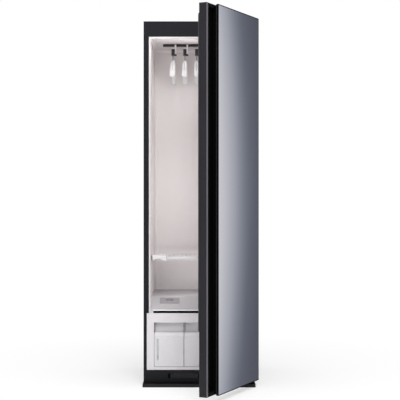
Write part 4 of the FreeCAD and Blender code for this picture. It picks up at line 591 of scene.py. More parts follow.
class Form:
    """Gathers the faces of one piece and turns them into an object that rides on a body."""

    def __init__(self, name: str, body: str = "cabinet", turn: Matrix | None = None) -> None:
        """Start an empty piece that rides on this body, its points turned like this at the end."""
        self.name, self.body, self.turn = name, body, turn
        self.mesh = bmesh.new()

    def block(self, low: Sequence[float], high: Sequence[float], radius: float = 0.0) -> None:
        """Add a block with rounded edges.

        Args:
            low: Lowest corner.
            high: Highest corner.
            radius: Radius of the edges.
        """
        made = bmesh.ops.create_cube(self.mesh, size=1.0)["verts"]
        for vert in made:
            vert.co = Vector([(a + b) / 2 + c * (b - a) for a, b, c in zip(low, high, vert.co)])
        if radius:
            edges = list(dict.fromkeys(edge for vert in made for edge in vert.link_edges))
            bmesh.ops.bevel(self.mesh, geom=edges, offset=radius, segments=2, profile=0.5, affect="EDGES")

    def loft(self, rings: Iterable[Iterable[Vector]], closed: bool = False) -> None:
        """Add faces between rings of points.

        Args:
            rings: Rings with equal numbers of points.
            closed: Whether the last ring joins the first; otherwise both ends are capped.
        """
        made = [[self.mesh.verts.new(point) for point in ring] for ring in rings]
        pairs = list(zip(made, made[1:])) + ([(made[-1], made[0])] if closed else [])
        for first, second in pairs:
            for i in range(len(first)):
                j = (i + 1) % len(first)
                self.mesh.faces.new((first[i], first[j], second[j], second[i]))
        if not closed:
            self.mesh.faces.new(made[0][::-1])
            self.mesh.faces.new(made[-1])

    def prism(self, outline: Sequence[Pair], low: float, high: float, axis: Axis = Axis.Z) -> None:
        """Add a bar between these ends, its outline (x, y) along the z axis or (y, z) along the x axis."""
        ends = [[(end, a, b) if axis is Axis.X else (a, b, end) for a, b in outline] for end in (low, high)]
        self.loft([map(Vector, points) for points in ends])

    def lathe(
        self, profile: Sequence[Pair], start: Vector, axis: Vector, steps: int = 32, closed: bool = False
    ) -> None:
        """Add a turned shape.

        Args:
            profile: Pairs of radius and distance along the axis.
            start: Point at distance zero.
            axis: Direction of the axis.
            steps: Segments round the axis.
            closed: Whether the profile is a closed section; otherwise both ends are capped.
        """
        turn = axis.to_track_quat("Z", "Y").to_matrix()
        angles = [2 * math.pi * i / steps for i in range(steps)]
        rings = []
        for radius, along in profile:
            ring = [Vector((radius * math.cos(a), radius * math.sin(a), along)) for a in angles]
            rings.append([start + turn @ point for point in ring])
        self.loft(rings, closed)

    def finish(
        self, slot: Slot, replaces: Sequence[str] = (), crease: float = 35.0, special: Special | None = None
    ) -> None:
        """Make the object, dress it and let it ride.

        Args:
            slot: Material slot of the record.
            replaces: CAD nodes that it stands for.
            crease: Angle in degrees above which an edge stays sharp.
            special: Finish that only this piece has, in place of its slot's.
        """
        bmesh.ops.remove_doubles(self.mesh, verts=self.mesh.verts, dist=SAME_POINT)
        bmesh.ops.recalc_face_normals(self.mesh, faces=self.mesh.faces)
        if self.turn is not None:
            bmesh.ops.transform(self.mesh, matrix=self.turn, verts=self.mesh.verts)
        data = bpy.data.meshes.new(self.name)
        self.mesh.to_mesh(data)
        self.mesh.free()
        data.polygons.foreach_set("use_smooth", [True] * len(data.polygons))
        data.set_sharp_from_angle(angle=math.radians(crease))
        data.materials.append(material_of(special or slot))
        piece = bpy.data.objects.new(self.name, data)
        bpy.context.scene.collection.objects.link(piece)
        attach(piece, self.body)
        if replaces:
            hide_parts(*replaces)


class Assembly:
    """A sub-assembly: builds the pieces that its CAD nodes lack and dresses those nodes."""

    coats: ClassVar[Coats]

    def build(self) -> None:
        """Build the added pieces, where there are any."""

    def dress(self) -> None:
        """Put each finish on its CAD nodes."""
        for choice, nodes in self.coats.items():
            for name in nodes:
                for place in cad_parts[name].material_slots:
                    place.material = material_of(choice)


@dataclass
class Casing(Assembly):
    """Dark outer casing on its floor frame, with feet, screws and hinge parts."""

    coats = {
        Slot.CASING_PAINT: (
            "left_side_panel", "right_side_panel", "top_panel", "back_panel", "front_header", "plinth_panel",
        ),
        Slot.BARE_STEEL: ("base_tray", "upper_hinge_arm", "lower_hinge_bracket"),
        Slot.BLACK_PLASTIC: ("floor_frame", "cord_gland"),
        Slot.SEAL_RUBBER: ("rear_feet", "left_front_foot", "right_front_foot"),
    }

    dome: ClassVar[tuple[Pair, ...]] = (  # outline of a screw head, in shares of its radius and thickness
        (1.0, 0.0), (1.0, 0.45), (0.86, 0.8), (0.6, 0.97), (0.42, 1.0), (0.36, 0.35),
    )
    bead_steps: ClassVar[tuple[Pair, ...]] = (  # distance in from a bead's outline and share of its raise
        (0.0, 0.0), (0.0015, 0.6), (0.004, 0.92), (0.0075, 1.0),
    )

    back: float = 0.285
    front: float = -0.285
    screw_edge: float = 0.2875  # from the middle to the rear screws
    screw_low: float = 0.078
    screw_step: float = 0.3627
    screw_rows: int = 6
    screw_radius: float = 0.0043
    screw_head: float = 0.0016  # thickness of a head
    shank_radius: float = 0.0019
    shank_length: float = 0.006
    recess: Triple = (0.0007, 0.0003, 0.32)  # half length, half width, depth as a share of the head
    hinge_face: float = -0.288
    hinge_screws: tuple[Pair, ...] = ((0.24825, 1.944), (0.26225, 1.944), (0.24825, 0.03), (0.26225, 0.03))
    bead_size: Triple = (0.42, 0.026, 0.0129)  # width, height and corner radius of the back's beads
    bead_raise: float = 0.0014
    bead_levels: tuple[float, ...] = (0.32, 0.62, 0.92, 1.22, 1.52)
    grille_half: float = 0.1535
    grille_low: float = 0.0385
    grille_high: float = 0.0625
    grille_bars: int = 6
    bar_gaps: Pair = (0.0005, 0.0006)  # under and over a bar
    bar_depths: Pair = (0.0009, 0.0006)  # before and behind the front plane
    catch_off: float = 0.0075  # from the grille's end to a catch's middle
    catch_half: float = 0.005
    catch_depths: Pair = (0.0014, 0.0004)
    tread_half: float = 0.2985
    tread_front: float = -0.3495
    tread_level: float = 0.018
    tread_ribs: int = 9
    tread_pitch: float = 0.0065
    rib_width: float = 0.002
    rib_top: float = 0.0014  # over the floor bar

    def screw(self, form: Form, head: Vector, outward: Vector) -> None:
        """Add a pan head with a cross recess and its shank.

        Args:
            form: The form that takes it.
            head: Middle of the head's seat.
            outward: Direction away from the casing.
        """
        radius, tall, (length, width, deep) = self.screw_radius, self.screw_head, self.recess
        profile = [(self.shank_radius, -self.shank_length), (self.shank_radius, 0.0)]
        profile += [(radius * a, tall * b) for a, b in self.dome] + [(0.0001, tall * 0.3)]
        form.lathe(profile, head, outward, 20)
        side = outward.orthogonal().normalized()
        for direction in (side, outward.cross(side)):
            spans = (direction * length, outward.cross(direction) * width, outward * tall * deep)
            reach = Vector([sum(map(abs, parts)) for parts in zip(*spans)])
            for sign in (-1, 1):
                middle = head + outward * tall * 0.7 + direction * sign * radius * 0.5
                form.block(middle - reach, middle + reach)

    def grille(self) -> None:
        """Build the plinth's grille bars and the dark catches beside and between them."""
        bars = Form("plinth_grille")
        step = (self.grille_high - self.grille_low) / self.grille_bars
        for i in range(self.grille_bars):
            z = self.grille_low + i * step
            low = (-self.grille_half, self.front - self.bar_depths[0], z + self.bar_gaps[0])
            high = (self.grille_half, self.front + self.bar_depths[1], z + step - self.bar_gaps[1])
            bars.block(low, high, 0.0005)
        bars.finish(Slot.BLACK_PLASTIC, special=Special.GRILLE)
        catches = Form("plinth_grille_catches")
        for side in (-1, 0, 1):
            middle, half = side * (self.grille_half + self.catch_off), self.catch_half
            low = (middle - half, self.front - self.catch_depths[0], self.grille_low - 0.001)
            high = (middle + half, self.front + self.catch_depths[1], self.grille_high + 0.001)
            catches.block(low, high, 0.0004)
        catches.finish(Slot.BLACK_GLOSS)

    def tread(self) -> None:
        """Build the ribbed tread on the floor bar, near-black as painted shade for the dark line at the
        plinth's foot.
        """
        cover = Form("floor_bar_shaded_tread")
        half, level = self.tread_half, self.tread_level
        low = (-half, self.tread_front, level - 0.0003)
        cover.block(low, (half, self.front - 0.0003, level + 0.0008), 0.0003)
        half -= 0.004
        for i in range(1, self.tread_ribs + 1):
            y = self.tread_front + i * self.tread_pitch
            high = (half, y + self.rib_width, level + self.rib_top)
            cover.block((-half, y, level + 0.0006), high, 0.0003)
        cover.finish(Slot.BLACK_GLOSS)

    def screws(self) -> None:
        """Build the screws of the back and of the hinge."""
        screws = Form("case_screw_set")
        for side in (-1, 1):
            for row in range(self.screw_rows):
                head = Vector((side * self.screw_edge, self.back, self.screw_low + row * self.screw_step))
                self.screw(screws, head, Vector((0.0, 1.0, 0.0)))
        for across, height in self.hinge_screws:
            self.screw(screws, Vector((across, self.hinge_face, height)), Vector((0.0, -1.0, 0.0)))
        screws.finish(Slot.BARE_STEEL, replaces=["case_screws"])

    def beads(self) -> None:
        """Build the pressed beads of the back."""
        beads = Form("back_panel_beads")
        wide, tall, _ = self.bead_size
        for level in self.bead_levels:
            rings = []
            for shrink, out in self.bead_steps:
                flat, upright = 1 - 2 * shrink / wide, 1 - 2 * shrink / tall
                outline = [(x * flat, level + z * upright) for x, z in rounded_rectangle(*self.bead_size, 8)]
                rings.append([Vector((x, self.back + out * self.bead_raise, z)) for x, z in outline])
            beads.loft(rings)
        beads.finish(Slot.CASING_PAINT)

    def build(self) -> None:
        """Build the grille, the tread, the screws and the beads."""
        self.grille()
        self.tread()
        self.screws()
        self.beads()


@dataclass
class Chamber(Assembly):
    """Pale moulded chamber with its trim, sloped floor, lint filter and shelf."""

    coats = {
        Special.OPENING_RIM: ("opening_trim",),
        Slot.LINER_PLASTIC: ("liner_left", "liner_right", "liner_back", "liner_ceiling"),
        # the chamber floor takes the liner plastic painted darker as shade
        Special.CHAMBER_FLOOR: ("chamber_floor",),
        Special.FILTER: ("lint_filter",),
        Slot.WHITE_PLASTIC: ("shelf",),
    }

    shelf_round: float = 0.0012
    half: float = 0.2601  # half the width between the walls
    front: float = -0.2788
    back: float = 0.215
    ceiling: float = 1.866
    cove_radius: float = 0.020
    foot_inner: float = 0.2455  # sides of the rim's feet, from the middle
    foot_outer: float = 0.2803
    foot_front: float = -0.2846
    foot_back: float = -0.2790
    foot_low: float = 0.3862
    foot_high: float = 0.3986
    lip_front: float = -0.285
    lip_bottom: float = 0.3988
    bead_high: float = 0.0056
    bead_out: float = 0.0012  # how far the bead stands before the lip's face

    def ceiling_cove(self) -> None:
        """Build the cove between the ceiling and the three walls."""
        wall, radius = self.half - 0.0001, self.cove_radius
        stations = [(Vector((-wall, self.front, 0.0)), Vector((1.0, 0.0, 0.0)))]
        for side, angles in ((-1, range(180, 89, -15)), (1, range(90, -1, -15))):
            centre = Vector((side * (self.half - radius), self.back - radius, 0.0))
            for angle in map(math.radians, angles):
                out = Vector((math.cos(angle), math.sin(angle), 0.0))
                stations.append((centre + out * (radius - 0.0001), -out))
        stations.append((Vector((wall, self.front, 0.0)), Vector((-1.0, 0.0, 0.0))))
        outline = [(0.0, self.ceiling - 0.0001)]
        for angle in (math.pi * i / 16 for i in range(9)):
            up = self.ceiling - radius + radius * 0.98 * math.cos(angle)
            outline.append((radius * 0.99 - radius * 0.98 * math.sin(angle), up))
        cove = Form("ceiling_cove")
        cove.loft([[place + inward * a + UP * b for a, b in outline] for place, inward in stations])
        cove.finish(Slot.LINER_PLASTIC, crease=50.0)

    def rim_feet(self) -> None:
        """Build the pieces that carry the opening's trim down to the fascia."""
        feet = Form("opening_rim_feet")
        for near, far in ((-self.foot_outer, -self.foot_inner), (self.foot_inner, self.foot_outer)):
            low, high = (near, self.foot_front, self.foot_low), (far, self.foot_back, self.foot_high)
            feet.block(low, high, 0.0008)
        feet.finish(Slot.WHITE_TRIM, special=Special.OPENING_RIM)

    def lip(self) -> None:
        """Build the bead along the floor's lip, in a paler trim that is a painted highlight, and the black
        strip behind the slot under it, which is painted shade.
        """
        bead = Form("floor_lip_bead")
        reach, face, low = self.foot_inner + 0.001, self.lip_front, self.lip_bottom + 0.0001
        high = (reach, face + 0.0004, low + self.bead_high)
        bead.block((-reach, face - self.bead_out, low), high, 0.0006)
        # the bead's paler trim is a painted highlight
        bead.finish(Slot.WHITE_TRIM, special=Special.LIP)
        # a black strip where the slot under the lip lies in shade: painted shade
        strip = Form("lip_slot_painted_shade")
        reach = self.foot_outer - 0.0002
        strip.block((-reach, self.front, self.foot_low), (reach, self.front + 0.001, self.foot_high))
        strip.finish(Slot.BLACK_GLOSS)

    def build(self) -> None:
        """Build the cove, the rim's feet and the lip's pieces, and round the shelf."""
        self.ceiling_cove()
        self.rim_feet()
        self.lip()
        round_edges(self.shelf_round, "shelf")


@dataclass
class HangingGear(Assembly):
    """Rail with light posts, dark sockets and five swinging hangers."""

    coats = {
        Slot.RAIL_METAL: ("hanger_rail",),
        Slot.POST_CHROME: ("hanger_posts",),
        Special.SOCKET: ("hanger_sockets",),
    }
    knob: ClassVar[tuple[Pair, ...]] = (
        (0.0085, -0.022), (0.0105, -0.014), (0.011, -0.006), (0.0106, -0.0025), (0.0085, -0.0005),
        (0.0055, 0.0), (0.0050, -0.001),
    )
    shaft: ClassVar[tuple[Pair, ...]] = (
        (0.0045, -0.010), (0.0045, 0.004), (0.0052, 0.0045), (0.0052, 0.0065), (0.0045, 0.007),
        (0.0045, 0.024), (0.0040, 0.0255), (0.0030, 0.026), (0.0030, 0.045),
    )
    pin: ClassVar[tuple[Pair, ...]] = ((0.0044, 0.0), (0.005, 0.0006), (0.005, 0.0124), (0.0044, 0.013))

    count: int = 5
    pitch: float = 0.066
    offset: float = 0.0135  # how far a hanger stands left of its post
    depth: float = -0.034
    pivot_height: float = 1.818
    knob_top: float = 1.773
    crown: float = 1.766  # height of the shoulders' middle
    drop: float = 0.092  # of the ends below the middle
    reach: float = 0.210  # half the length of the shoulders
    middle_thick: float = 0.034
    end_thick: float = 0.024
    width: float = 0.030
    wall: float = 0.0045
    hollow: float = 0.3  # depth of the underside's hollow, as a share of the thickness
    end_round: float = 0.07  # share of the reach over which the ends round off
    stations: int = 41
    grip_lane: float = 0.006  # from one grip rib to the next
    grip_sink: float = 0.0022  # of the outer ribs
    grip_start: float = 0.52  # shares of the reach
    grip_length: float = 0.38
    grip_size: Triple = (0.0022, 0.0024, 0.0008)  # width, height and corner radius of a rib

    def arch(self, share: float, height: float, drop: float) -> float:
        """Return the height, at a share of the reach, of an arc with this height and drop."""
        radius = (self.reach**2 + drop**2) / (2 * drop)
        return height - radius + math.sqrt(radius**2 - (share * self.reach) ** 2)

    def section(self, across: float, share: float) -> list[Vector]:
        """Outline of the shoulders at one place: a round back over a hollow underside.

        Args:
            across: Sideways place of the hanger.
            share: Distance from the middle over the half length, with its sign.

        Returns:
            Points round the outline.
        """
        top = self.arch(share, self.crown, self.drop)
        low_drop = self.drop + self.end_thick - self.middle_thick
        under = self.arch(share, self.crown - self.middle_thick, low_drop)
        fade = max(0.0, (abs(share) - 1 + self.end_round) / self.end_round)
        shrink = math.sqrt(max(0.0, 1 - fade**2 * 0.85))
        middle = (top + under) / 2
        top, under = middle + (top - middle) * shrink, middle + (under - middle) * shrink
        half = self.width / 2 * (0.82 + 0.18 * min(1.0, abs(share) * 1.6)) * (0.55 + 0.45 * shrink)
        outline = []
        for angle in (math.pi * i / 12 for i in range(13)):
            bulge = math.copysign(abs(math.cos(angle)) ** 0.75, math.cos(angle))
            outline.append((half * bulge, middle + (top - middle) * math.sin(angle) ** 0.8))
        inner, hollow = half - self.wall, under + (top - under) * self.hollow
        rim = [(half * 0.97, under + 0.0015), (inner, under), (inner * 0.8, hollow)]
        outline += [(-a, b) for a, b in rim] + rim[::-1]
        return [Vector((across + a, self.depth + share * self.reach, b)) for a, b in outline]

    def hanger(self, name: str, across: float) -> None:
        """Build one hanger: white shoulders with a knob, grey neck and ribbed grips.

        Args:
            name: Name of the hanger's node and body.
            across: Its sideways place.
        """
        shoulders = Form(f"{name}_shoulders", name)
        last = self.stations - 1
        shoulders.loft([self.section(across, 2 * i / last - 1) for i in range(self.stations)])
        top = Vector((across, self.depth, self.knob_top))
        shoulders.lathe(self.knob, top, UP, 28)
        shoulders.finish(Slot.WHITE_PLASTIC, replaces=[name], crease=50.0)
        neck = Form(f"{name}_neck", name)
        neck.lathe(self.shaft, top, UP, 24)
        pin_start = Vector((across - self.pin[-1][1] / 2, self.depth, self.pivot_height))
        neck.lathe(self.pin, pin_start, Vector((1.0, 0.0, 0.0)), 20)
        neck.finish(Slot.GREY_PLASTIC)
        grips = Form(f"{name}_grips", name)
        cut = rounded_rectangle(*self.grip_size, 2)
        for side in (-1, 1):
            for lane in (-1, 0, 1):
                rings = []
                for i in range(13):
                    share = side * (self.grip_start + self.grip_length * i / 12)
                    height = self.arch(share, self.crown, self.drop) - self.grip_sink * abs(lane)
                    place = Vector((across + lane * self.grip_lane, self.depth + share * self.reach, height))
                    rings.append([place + Vector((a, 0.0, b)) for a, b in cut])
                grips.loft(rings)
        grips.finish(Slot.SEAL_RUBBER, special=Special.GRIP)

    def build(self) -> None:
        """Build every hanger."""
        for i in range(self.count):
            self.hanger(f"hanger_{i + 1}", (i + 1 - (self.count + 1) / 2) * self.pitch - self.offset)


@dataclass
class TankBay(Assembly):
    """White fascia with two pull-out water tanks and a blank cover."""

    coats = {
        Slot.WHITE_TRIM: ("bay_fascia",),
        Special.TANK_FRONT: ("blank_cover", "supply_tank_front", "drain_tank_front"),
        Slot.GREY_PLASTIC: ("tank_bay", "supply_tank_cap", "drain_tank_cap"),
        Slot.TANK_PLASTIC: ("supply_tank", "drain_tank"),
    }

    rib: ClassVar[tuple[Pair, ...]] = ((0.0007, 0.0), (0.0011, 0.0008), (0.0011, 0.0072), (0.0007, 0.008))

    section: float = 0.484 / 3  # width of one section
    face: float = -0.285  # depth of the front plane
    window_left: float = -0.0647  # from the section's middle
    window_width: float = 0.009
    window_low: float = 0.135
    window_high: float = 0.248
    marks: int = 5
    mark_start: float = 0.018  # lowest level mark over the window's bottom
    mark_step: float = 0.0195
    cap_depth: float = -0.165
    cap_radius: float = 0.0295
    cap_low: float = 0.3195
    ribs: int = 36  # round a cap
    ledge: float = 0.250  # height of the ledge behind a tank's front
    bend: float = 0.266  # height at which a tank's front begins to lean back
    lip: float = 0.282  # top of a tank's front
    recess: float = -0.245  # depth of the grip recess's rear wall
    scoop_half: float = 0.0752
    scoop_start: float = 0.0047  # how far its floor begins behind the front plane
    cheek_lean: float = 0.0128  # the same for its cheeks, over the tank's front
    scoop_thick: float = 0.0012
    scoop_radius: float = 0.014
    lean_out: float = 0.008  # how far the scoop's wall leans forward below
    lean_high: float = 0.305
    front_low: float = 0.098  # bottom and top of the fascia's window
    front_high: float = 0.3355
    front_round: float = 0.0008
    groove_half: float = 0.0026  # half widths of the bars between and beside the fronts
    groove_edge: float = 0.0012
    groove_depths: Pair = (0.0018, 0.0039)  # behind the front plane

    def grip_scoop(self, name: str, centre: float) -> None:
        """Build the white scoop that the fingers reach into over one tank's front.

        Args:
            name: Name of the tank.
            centre: Sideways place of the tank.
        """
        back, floor, thick = self.recess - 0.0003, self.ledge + 0.0003, self.scoop_thick
        top, start = self.front_high - 0.0016, self.face + self.scoop_start
        radius, half = self.scoop_radius, self.scoop_half
        outline = [(start, floor + thick)]
        for angle in (math.pi * i / 12 for i in range(7)):
            deep = back - thick - self.lean_out - radius + radius * math.sin(angle)
            outline.append((deep, floor + thick + radius - radius * math.cos(angle)))
        outline += [(back - thick, self.lean_high), (back - thick, top), (back, top)]
        outline += [(back, floor), (start, floor)]
        scoop = Form(f"{name}_grip_scoop", name)
        scoop.prism(outline, centre - half, centre + half, Axis.X)
        lean = self.face + self.cheek_lean
        cheek = [(start, floor), (start, self.bend), (lean, self.lip + 0.0005), (lean, top), (back, top)]
        for near, far in ((-half, thick - half), (half - thick, half)):
            scoop.prism([*cheek, (back, floor)], centre + near, centre + far, Axis.X)
        scoop.finish(Slot.WHITE_TRIM)

    def groove_trim(self) -> None:
        """Build the bars that close the grooves round the tank fronts, white trim painted darker as the shade
        in the grooves.
        """
        trim = Form("bay_groove_shaded_trim")
        low, high = self.front_low + 0.0002, self.front_high - 0.0002
        near, far = (self.face + depth for depth in self.groove_depths)
        places = (self.section / 2, self.groove_half), (1.5 * self.section - 0.0013, self.groove_edge)
        for side in (-1, 1):
            for middle, half in places:
                trim.block((side * middle - half, near, low), (side * middle + half, far, high))
        reach = 1.5 * self.section - 0.0002
        trim.block((-reach, near, low), (reach, far, low + 0.0022))
        trim.finish(Slot.WHITE_TRIM, special=Special.GROOVE)

    def level_window(self) -> None:
        """Build the clear window of the supply tank, with level marks."""
        middle = -self.section + self.window_left + self.window_width / 2
        half = self.window_width / 2 - 0.0002
        window = Form("supply_level_window", "supply_tank")
        low = (middle - half, self.face + 0.0009, self.window_low + 0.0002)
        window.block(low, (middle + half, self.face + 0.0036, self.window_high - 0.0002), 0.0006)
        for i in range(self.marks):
            z = self.window_low + self.mark_start + i * self.mark_step
            reach = half * (0.45 if i % 2 else 0.8)
            low = (middle - reach, self.face + 0.0006, z)
            window.block(low, (middle + reach, self.face + 0.001, z + 0.001))
        window.finish(Slot.TANK_PLASTIC)

    def cap_ribs(self, name: str, centre: float) -> None:
        """Build the grip ribs round one tank cap.

        Args:
            name: Name of the tank.
            centre: Sideways place of the tank.
        """
        ribs = Form(f"{name}_cap_ribs", f"{name}_cap")
        for angle in (2 * math.pi * i / self.ribs for i in range(self.ribs)):
            out = Vector((math.cos(angle), math.sin(angle), 0.0)) * (self.cap_radius - 0.0006)
            ribs.lathe(self.rib, Vector((centre, self.cap_depth, self.cap_low)) + out, UP, 8)
        ribs.finish(Slot.GREY_PLASTIC)

    def build(self) -> None:
        """Build the window, scoops, grooves and the caps' ribs, and round the fronts."""
        self.level_window()
        self.groove_trim()
        for name, centre in (("supply_tank", -self.section), ("drain_tank", 0.0)):
            self.grip_scoop(name, centre)
            self.cap_ribs(name, centre)
        round_edges(self.front_round, "bay_fascia", "supply_tank_front", "drain_tank_front", "blank_cover")


@dataclass
class Door(Assembly):
    """Mirror door, drawn closed and turned open about its hinge."""

    coats = {
        Slot.DOOR_METAL: ("door_frame",),
        Slot.CORE_BOARD: ("door_core", "glass_backing"),
        Slot.WHITE_PLASTIC: ("door_liner",),
        Slot.BLACK_GLOSS: ("grip_channel", "control_panel"),
        Slot.MIRROR_GLASS: ("door_glass",),
        Slot.GREY_PLASTIC: ("hinge_bushes",),
    }
    folds: ClassVar[tuple[Pair, ...]] = (  # left half of the seal's section, in millimetres
        (-5.9, 0.0), (-5.9, 1.4), (-3.8, 1.9), (-3.6, 2.6), (-4.9, 3.3), (-4.7, 4.1), (-3.1, 4.8),
        (-3.2, 5.4), (-5.6, 5.9), (-5.7, 6.9), (-4.6, 7.6),
    )
    key_ring: ClassVar[tuple[Pair, ...]] = (
        (0.00305, 0.0), (0.00305, 0.0002), (0.00375, 0.0002), (0.00375, 0.0),
    )

    hinge: Pair = (0.2825, -0.315)
    open_angle: float = 63.0
    inner: float = -0.293  # depths, with the door closed
    outer: float = -0.3345
    backing_face: float = -0.343
    glass_face: float = -0.347
    key_face: float = -0.3169
    channel_floor: float = -0.315
    seal_box: Box = (-0.293, 0.2825, 0.355, 1.910)
    seal_width: float = 0.012
    seal_round: float = 0.009  # corner radius of its middle line
    backing: Box = (-0.1955, 0.2955, 0.036, 1.958)
    band_thick: float = 0.0004
    glass: Box = (-0.1975, 0.2975, 0.034, 1.960)
    border: float = 0.0045  # width of the dark trim round the mirror
    free_border: float = 0.008  # the same along the free edge
    key_across: float = -0.266
    key_low: float = 1.223
    key_step: float = 0.040
    keys: int = 4
    free_edge: float = -0.2975
    frame_low: float = 0.0415
    frame_high: float = 1.954
    rim_reach: float = 0.0145  # of the painted highlight strip from the free edge
    corner_round: float = 0.002  # radius of the frame's free corner
    line_thick: float = 0.0005  # thickness of the strip round it
    channel_sides: Box = (-0.2885, -0.2822, -0.1848, -0.1786)  # outer and inner, left and right
    channel_ends: tuple[Pair, ...] = ((0.0446, 0.0585), (1.9365, 1.9509))

    def form(self, name: str) -> Form:
        """Start a piece that is drawn on the closed door and turned open at the end.

        Args:
            name: Name of the piece.

        Returns:
            The empty piece.
        """
        pin = Matrix.Translation((*self.hinge, 0.0))
        turn = Matrix.Rotation(math.radians(self.open_angle), 4, "Z")
        return Form(name, "door", pin @ turn @ pin.inverted())

    def painted_corner_highlight(self) -> None:
        """Build the paler strip from the door's free corner over the channel's rim: a painted highlight along
        that edge.
        """
        strip = self.form("door_corner_highlight")
        edge, face, reach = self.free_edge, self.outer, self.free_edge + self.rim_reach
        inner, outline, back = self.corner_round, [], []
        for i in range(5):
            angle = math.radians(215 + 55 * i / 4)
            for points, radius in ((outline, inner + self.line_thick), (back, inner)):
                across = edge + inner + radius * math.cos(angle)
                points.append((across, face + inner + radius * math.sin(angle)))
        outline += [(reach - 0.0006, face - 0.0005), (reach, face - 0.0002), (reach, face + 0.0003)]
        back += [(edge + 0.0079, face), (edge + 0.0085, face + 0.0006)]
        strip.prism(outline + back[::-1], self.frame_low + 0.004, self.frame_high - 0.004)
        strip.finish(Slot.DOOR_METAL, special=Special.CORNER_LINE)

    def mirror_border(self) -> None:
        """Build the dark trim round the mirror's face."""
        left, right, low, high = self.glass
        wide, near, far = self.border, self.glass_face - 0.0003, self.glass_face + 0.0002
        inner = left + self.free_border
        border = self.form("mirror_border")
        for start, end, bottom, top in (
            (left, inner, low, high), (right - wide, right, low, high),
            (inner, right - wide, low, low + wide), (inner, right - wide, high - wide, high),
        ):
            border.block((start, near, bottom), (end, far, top), 0.0001)
        border.finish(Slot.BLACK_GLOSS)

    def edge_band(self) -> None:
        """Build the dark band round the edges of the glass's backing."""
        left, right, low, high = self.backing
        near, far, thick = self.backing_face + 0.0001, self.outer - 0.0001, self.band_thick
        band = self.form("backing_edge_band")
        for start, end, bottom, top in (
            (left - thick, left, low, high), (right, right + thick, low, high),
            (left - thick, right + thick, low - thick, low),
            (left - thick, right + thick, high, high + thick),
        ):
            band.block((start, near, bottom), (end, far, top))
        band.finish(Slot.BLACK_PLASTIC)

    def channel_caps(self) -> None:
        """Build the end pieces of the grip channel."""
        caps = self.form("channel_end_caps")
        rim, floor = self.outer + 0.001, self.channel_floor
        outline = list(zip(self.channel_sides, (rim, floor, floor, rim)))
        for low, high in self.channel_ends:
            caps.prism(outline, low, high)
        caps.finish(Slot.BLACK_GLOSS)

    def seal(self) -> None:
        """Build the soft seal with its folds, run round the door."""
        left, right, low, high = self.seal_box
        loops = []
        for out, rise in [*self.folds, *((-a, b) for a, b in reversed(self.folds))]:
            grow = out * 0.002 - self.seal_width
            loop = rounded_rectangle(right - left + grow, high - low + grow, self.seal_round + out * 0.001, 8)
            place = Vector(((left + right) / 2, self.inner + rise * 0.001, (low + high) / 2))
            loops.append([place + Vector((x, 0.0, z)) for x, z in loop])
        seal = self.form("door_seal")
        seal.loft(zip(*loops), closed=True)
        seal.finish(Slot.SEAL_RUBBER, replaces=["door_gasket"], crease=60.0)

    def key_marks(self) -> None:
        """Build a plain ring on each touch key."""
        marks = self.form("control_key_rings")
        for i in range(self.keys):
            start = Vector((self.key_across, self.key_face, self.key_low + i * self.key_step))
            marks.lathe(self.key_ring, start, Vector((0.0, -1.0, 0.0)), closed=True)
        marks.finish(Slot.GREY_PLASTIC)

    def build(self) -> None:
        """Build the seal, the key marks and the edge pieces."""
        self.seal()
        self.key_marks()
        self.painted_corner_highlight()
        self.mirror_border()
        self.edge_band()
        self.channel_caps()


@dataclass
class MachineSpace(Assembly):
    """Blowers, heat pump, steam generator and pumps behind the panels."""

    coats = {
        Slot.GREY_PLASTIC: ("fan_housings", "steam_nozzle", "control_box"),
        Slot.BARE_STEEL: ("fan_motors",),
        Slot.BLACK_PLASTIC: ("upper_fan_wheel", "lower_fan_wheel", "water_pumps"),
        Slot.CAST_ALUMINIUM: ("heat_exchangers", "steam_generator"),
        Slot.RAIL_METAL: ("compressor",),
        Slot.COPPER_PIPE: ("refrigerant_pipes",),
    }


@dataclass(frozen=True)
class Lamp:
    """A soft rectangular lamp that is seen only by its light."""

    name: str
    place: Triple
    aim: Triple
    width: float
    height: float
    power: float

    def hang(self) -> None:
        """Put the lamp in the scene."""
        data = bpy.data.lights.new(f"{self.name}_lamp", "AREA")
        data.shape = "RECTANGLE"
        data.size, data.size_y, data.energy = self.width, self.height, self.power
        lamp = bpy.data.objects.new(f"{self.name}_lamp", data)
        lamp.location = self.place
        lamp.rotation_euler = (Vector(self.aim) - Vector(self.place)).to_track_quat("-Z", "Y").to_euler()
        lamp.visible_camera = lamp.visible_glossy = False
        bpy.context.scene.collection.objects.link(lamp)


@dataclass(frozen=True)
class Sheet:
    """A flat stage piece: its name, its material's, one corner and the ways along two sides."""

    name: str
    paper: str
    corner: Triple
    along: Triple
    across: Triple

    def lay(self) -> tuple[bpy.types.Object, Bench]:
        """Put the sheet in the scene.

        Returns:
            The sheet and the bench on its material.
        """
        start, along, across = Vector(self.corner), Vector(self.along), Vector(self.across)
        corners = [start, start + along, start + along + across, start + across]
        data = bpy.data.meshes.new(self.name)
        data.from_pydata(corners, [], [(0, 1, 2, 3)])
        data.materials.append(bpy.data.materials.new(self.paper))
        sheet = bpy.data.objects.new(self.name, data)
        bpy.context.scene.collection.objects.link(sheet)
        return sheet, Bench.clear(data.materials[0])

    def glow(self, bench: Bench, colour: Any, strength: Any) -> None:
        """Let the sheet shine, for reflections alone.

        Args:
            bench: The bench on its material.
            colour: Colour of the light.
            strength: Strength of the light.
        """
        light = bench.lay("Emission", {"Color": colour, "Strength": strength})
        bench.lay("OutputMaterial", {"Surface": light.outputs[0]})
        for ray in ("camera", "diffuse", "transmission", "shadow", "volume_scatter"):
            setattr(bpy.data.objects[self.name], f"visible_{ray}", False)


